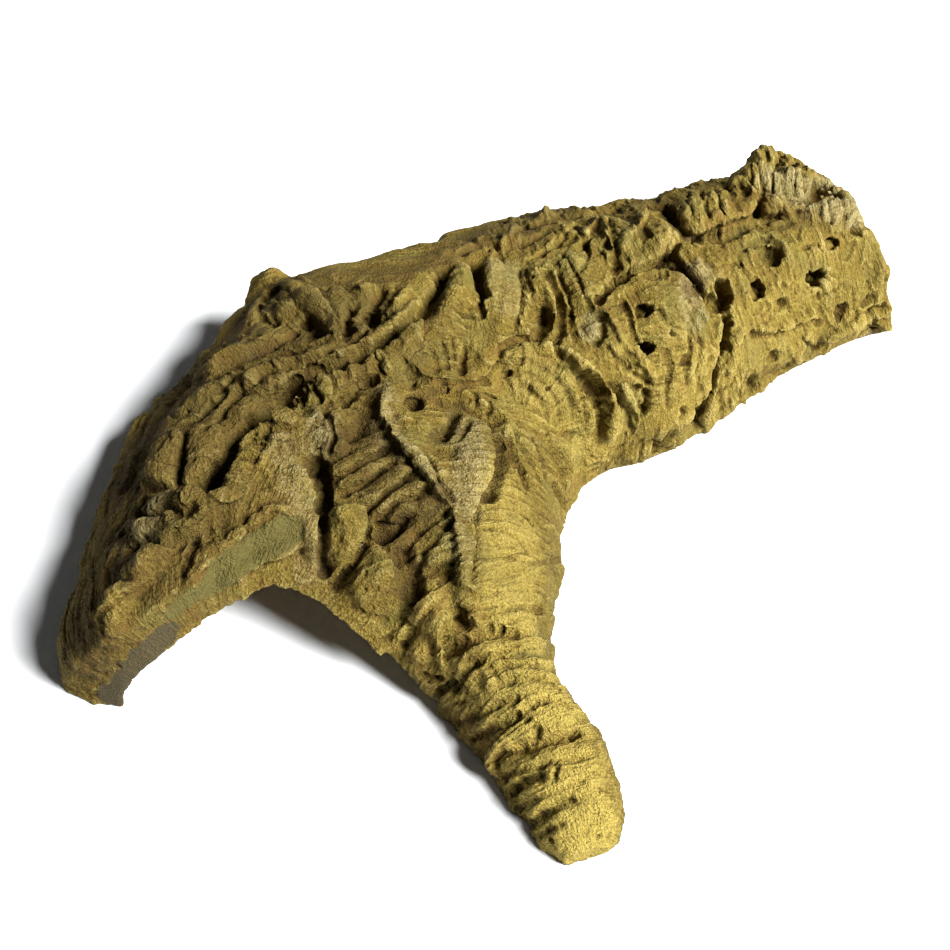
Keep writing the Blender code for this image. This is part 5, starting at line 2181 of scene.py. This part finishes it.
@dataclass
class BarkCave:
    """The forked bark: carved, dressed, parted into closed pieces and finished."""

    layout: Layout
    view: PhotoView
    relief: BarkRelief
    finish: CorkFinish
    fork: Fork = Fork((-66.0, -102.0), (52.0, -22.0), 60.0)
    limb_end: Fork = Fork((-150.0, -40.0), (-40.0, -20.0))
    elbow_end: Fork = Fork((-35.0, 120.0), (5.0, 0.0))
    waist: Fork = Fork((75.0, 150.0), (120.0, 50.0))
    coarse_mesh: float = 1.1
    fine_mesh: float = 0.78
    facet_rounds: int = 14
    broad_rounds: int = 60
    even_rounds: int = 40
    carve_rounds: int = 1
    boldness: float = 1.45
    healed_width: float = 9.0
    healing_rounds: int = 260
    branch_triangles: int = 160000
    length_triangles: int = 196000
    sharp_angle: float = math.radians(75.0)

    def build(self, nodes: dict[str, bpy.types.Object], box: tuple[Vector, Vector]) -> list[bpy.types.Object]:
        """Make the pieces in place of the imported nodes.

        Args:
            nodes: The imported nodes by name.
            box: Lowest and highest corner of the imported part.

        Returns:
            The branch and the pieces of the trunk.
        """
        stock = BarkStock(self.layout, self.view)
        stock.fuse(nodes["trunk_bark"], nodes["branch_bark"], self.fork, self.coarse_mesh)
        stock.smooth(self.facet_rounds)
        LOG.info("fused stock: %d vertices", len(stock.object.data.vertices))
        spots = Carver(stock, self.broad_rounds, self.even_rounds).cast(HEALED)[0]
        stock.heal(spots, self.healed_width, self.healing_rounds)
        Carver(stock, self.broad_rounds, self.even_rounds).carve(MARKS, self.boldness)
        stock.mesh_evenly(self.fine_mesh)
        stock.smooth(self.carve_rounds)
        LOG.info("carved stock: %d vertices", len(stock.object.data.vertices))
        BarkDresser(stock, self.relief).dress(np.array(box[0]), np.array(box[1]))
        splitter = Splitter(stock)
        branch, *lengths = self.parted(splitter)
        material = self.finish.made()
        rows = [(branch, "branch_bark", self.branch_triangles)]
        rows += [(piece, "trunk_bark", self.length_triangles) for piece in lengths]
        for piece, node, most in rows:
            BarkDresser.raise_relief(piece)
            splitter.thin(piece, most)
            piece.data.materials.clear()
            piece.data.materials.append(material)
            stock.pick(piece)
            bpy.ops.object.shade_smooth_by_angle(angle=self.sharp_angle)
            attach(piece, "root")
            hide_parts(node)
            LOG.info("%s: %d triangles", piece.name, triangles_of(piece))
        return [branch, *lengths]

    def parted(self, splitter: Splitter) -> list[bpy.types.Object]:
        """Part the stock into the branch and four lengths of the trunk.

        Args:
            splitter: What parts the stock.

        Returns:
            The branch, then the lengths from the sawn limb to the broken end.
        """
        planes = {
            "branch_of_cork": self.fork,
            "sawn_limb_of_cork": self.limb_end,
            "elbow_of_cork": self.elbow_end,
            "waist_of_cork": self.waist,
        }
        pieces = [splitter.part(plane, name) for name, plane in planes.items()]
        rest = splitter.stock.object
        rest.name = "broken_end_of_cork"
        return [*pieces, rest]


@dataclass(frozen=True)
class Studio:
    """Plain pale floor under a soft key light from the right and a weak sky."""

    floor_width: float = 8.0
    floor_colour: Colour = (0.90, 0.915, 0.925)
    floor_roughness: float = 0.9
    floor_shine: float = 0.1
    key_strength: float = 13.0
    key_spread: float = math.radians(27.0)
    key_azimuth: float = math.radians(66.0)
    key_elevation: float = math.radians(42.0)
    sky_colour: Colour = (0.95, 0.97, 1.0)
    sky_strength: float = 0.055

    def make_floor(self) -> bpy.types.Object:
        """The floor that the bark lies on.

        Returns:
            The floor.
        """
        bpy.ops.object.select_all(action="DESELECT")
        bpy.ops.mesh.primitive_plane_add(size=self.floor_width, location=(0.0, 0.0, 0.0))
        floor = bpy.context.active_object
        floor.name = "pale_floor"
        bench = Bench("pale_floor")
        looks = {
            "Base Color": self.floor_colour,
            "Roughness": self.floor_roughness,
            "Specular IOR Level": self.floor_shine,
        }
        bench.feed(bench.shader, looks)
        floor.data.materials.append(bench.material)
        floor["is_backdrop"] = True
        return floor

    def make_lights(self, layout: Layout) -> bpy.types.Object:
        """The key light and the sky.

        Args:
            layout: The photograph's frame, in which the light's angles are given.

        Returns:
            The key light.
        """
        data = bpy.data.lights.new("key_light", "SUN")
        data.energy = self.key_strength
        data.angle = self.key_spread
        key = bpy.data.objects.new("key_light", data)
        flat = math.cos(self.key_elevation)
        right = math.sin(self.key_azimuth) * flat
        ahead = -math.cos(self.key_azimuth) * flat
        layout.aim(key, -np.array([right, ahead, math.sin(self.key_elevation)]))
        world = bpy.data.worlds.new("pale_room")
        world.use_nodes = True
        background = world.node_tree.nodes["Background"]
        background.inputs["Color"].default_value = (*self.sky_colour, 1.0)
        background.inputs["Strength"].default_value = self.sky_strength
        bpy.context.scene.world = world
        return key


def main() -> None:
    """Build the camera, the bark and the studio in order."""
    logging.basicConfig(level=logging.INFO, format="%(message)s")
    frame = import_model()
    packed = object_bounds()
    layout = Layout()
    view = PhotoView()
    view.make_camera(layout)
    bpy.context.scene.view_settings.view_transform = "Standard"
    cave = BarkCave(layout, view, BarkRelief(), CorkFinish())
    for piece in cave.build(frame["nodes"], packed):
        LOG.info("%s is in place", piece.name)
    studio = Studio()
    studio.make_floor()
    studio.make_lights(layout)


if __name__ == "__main__":
    main()
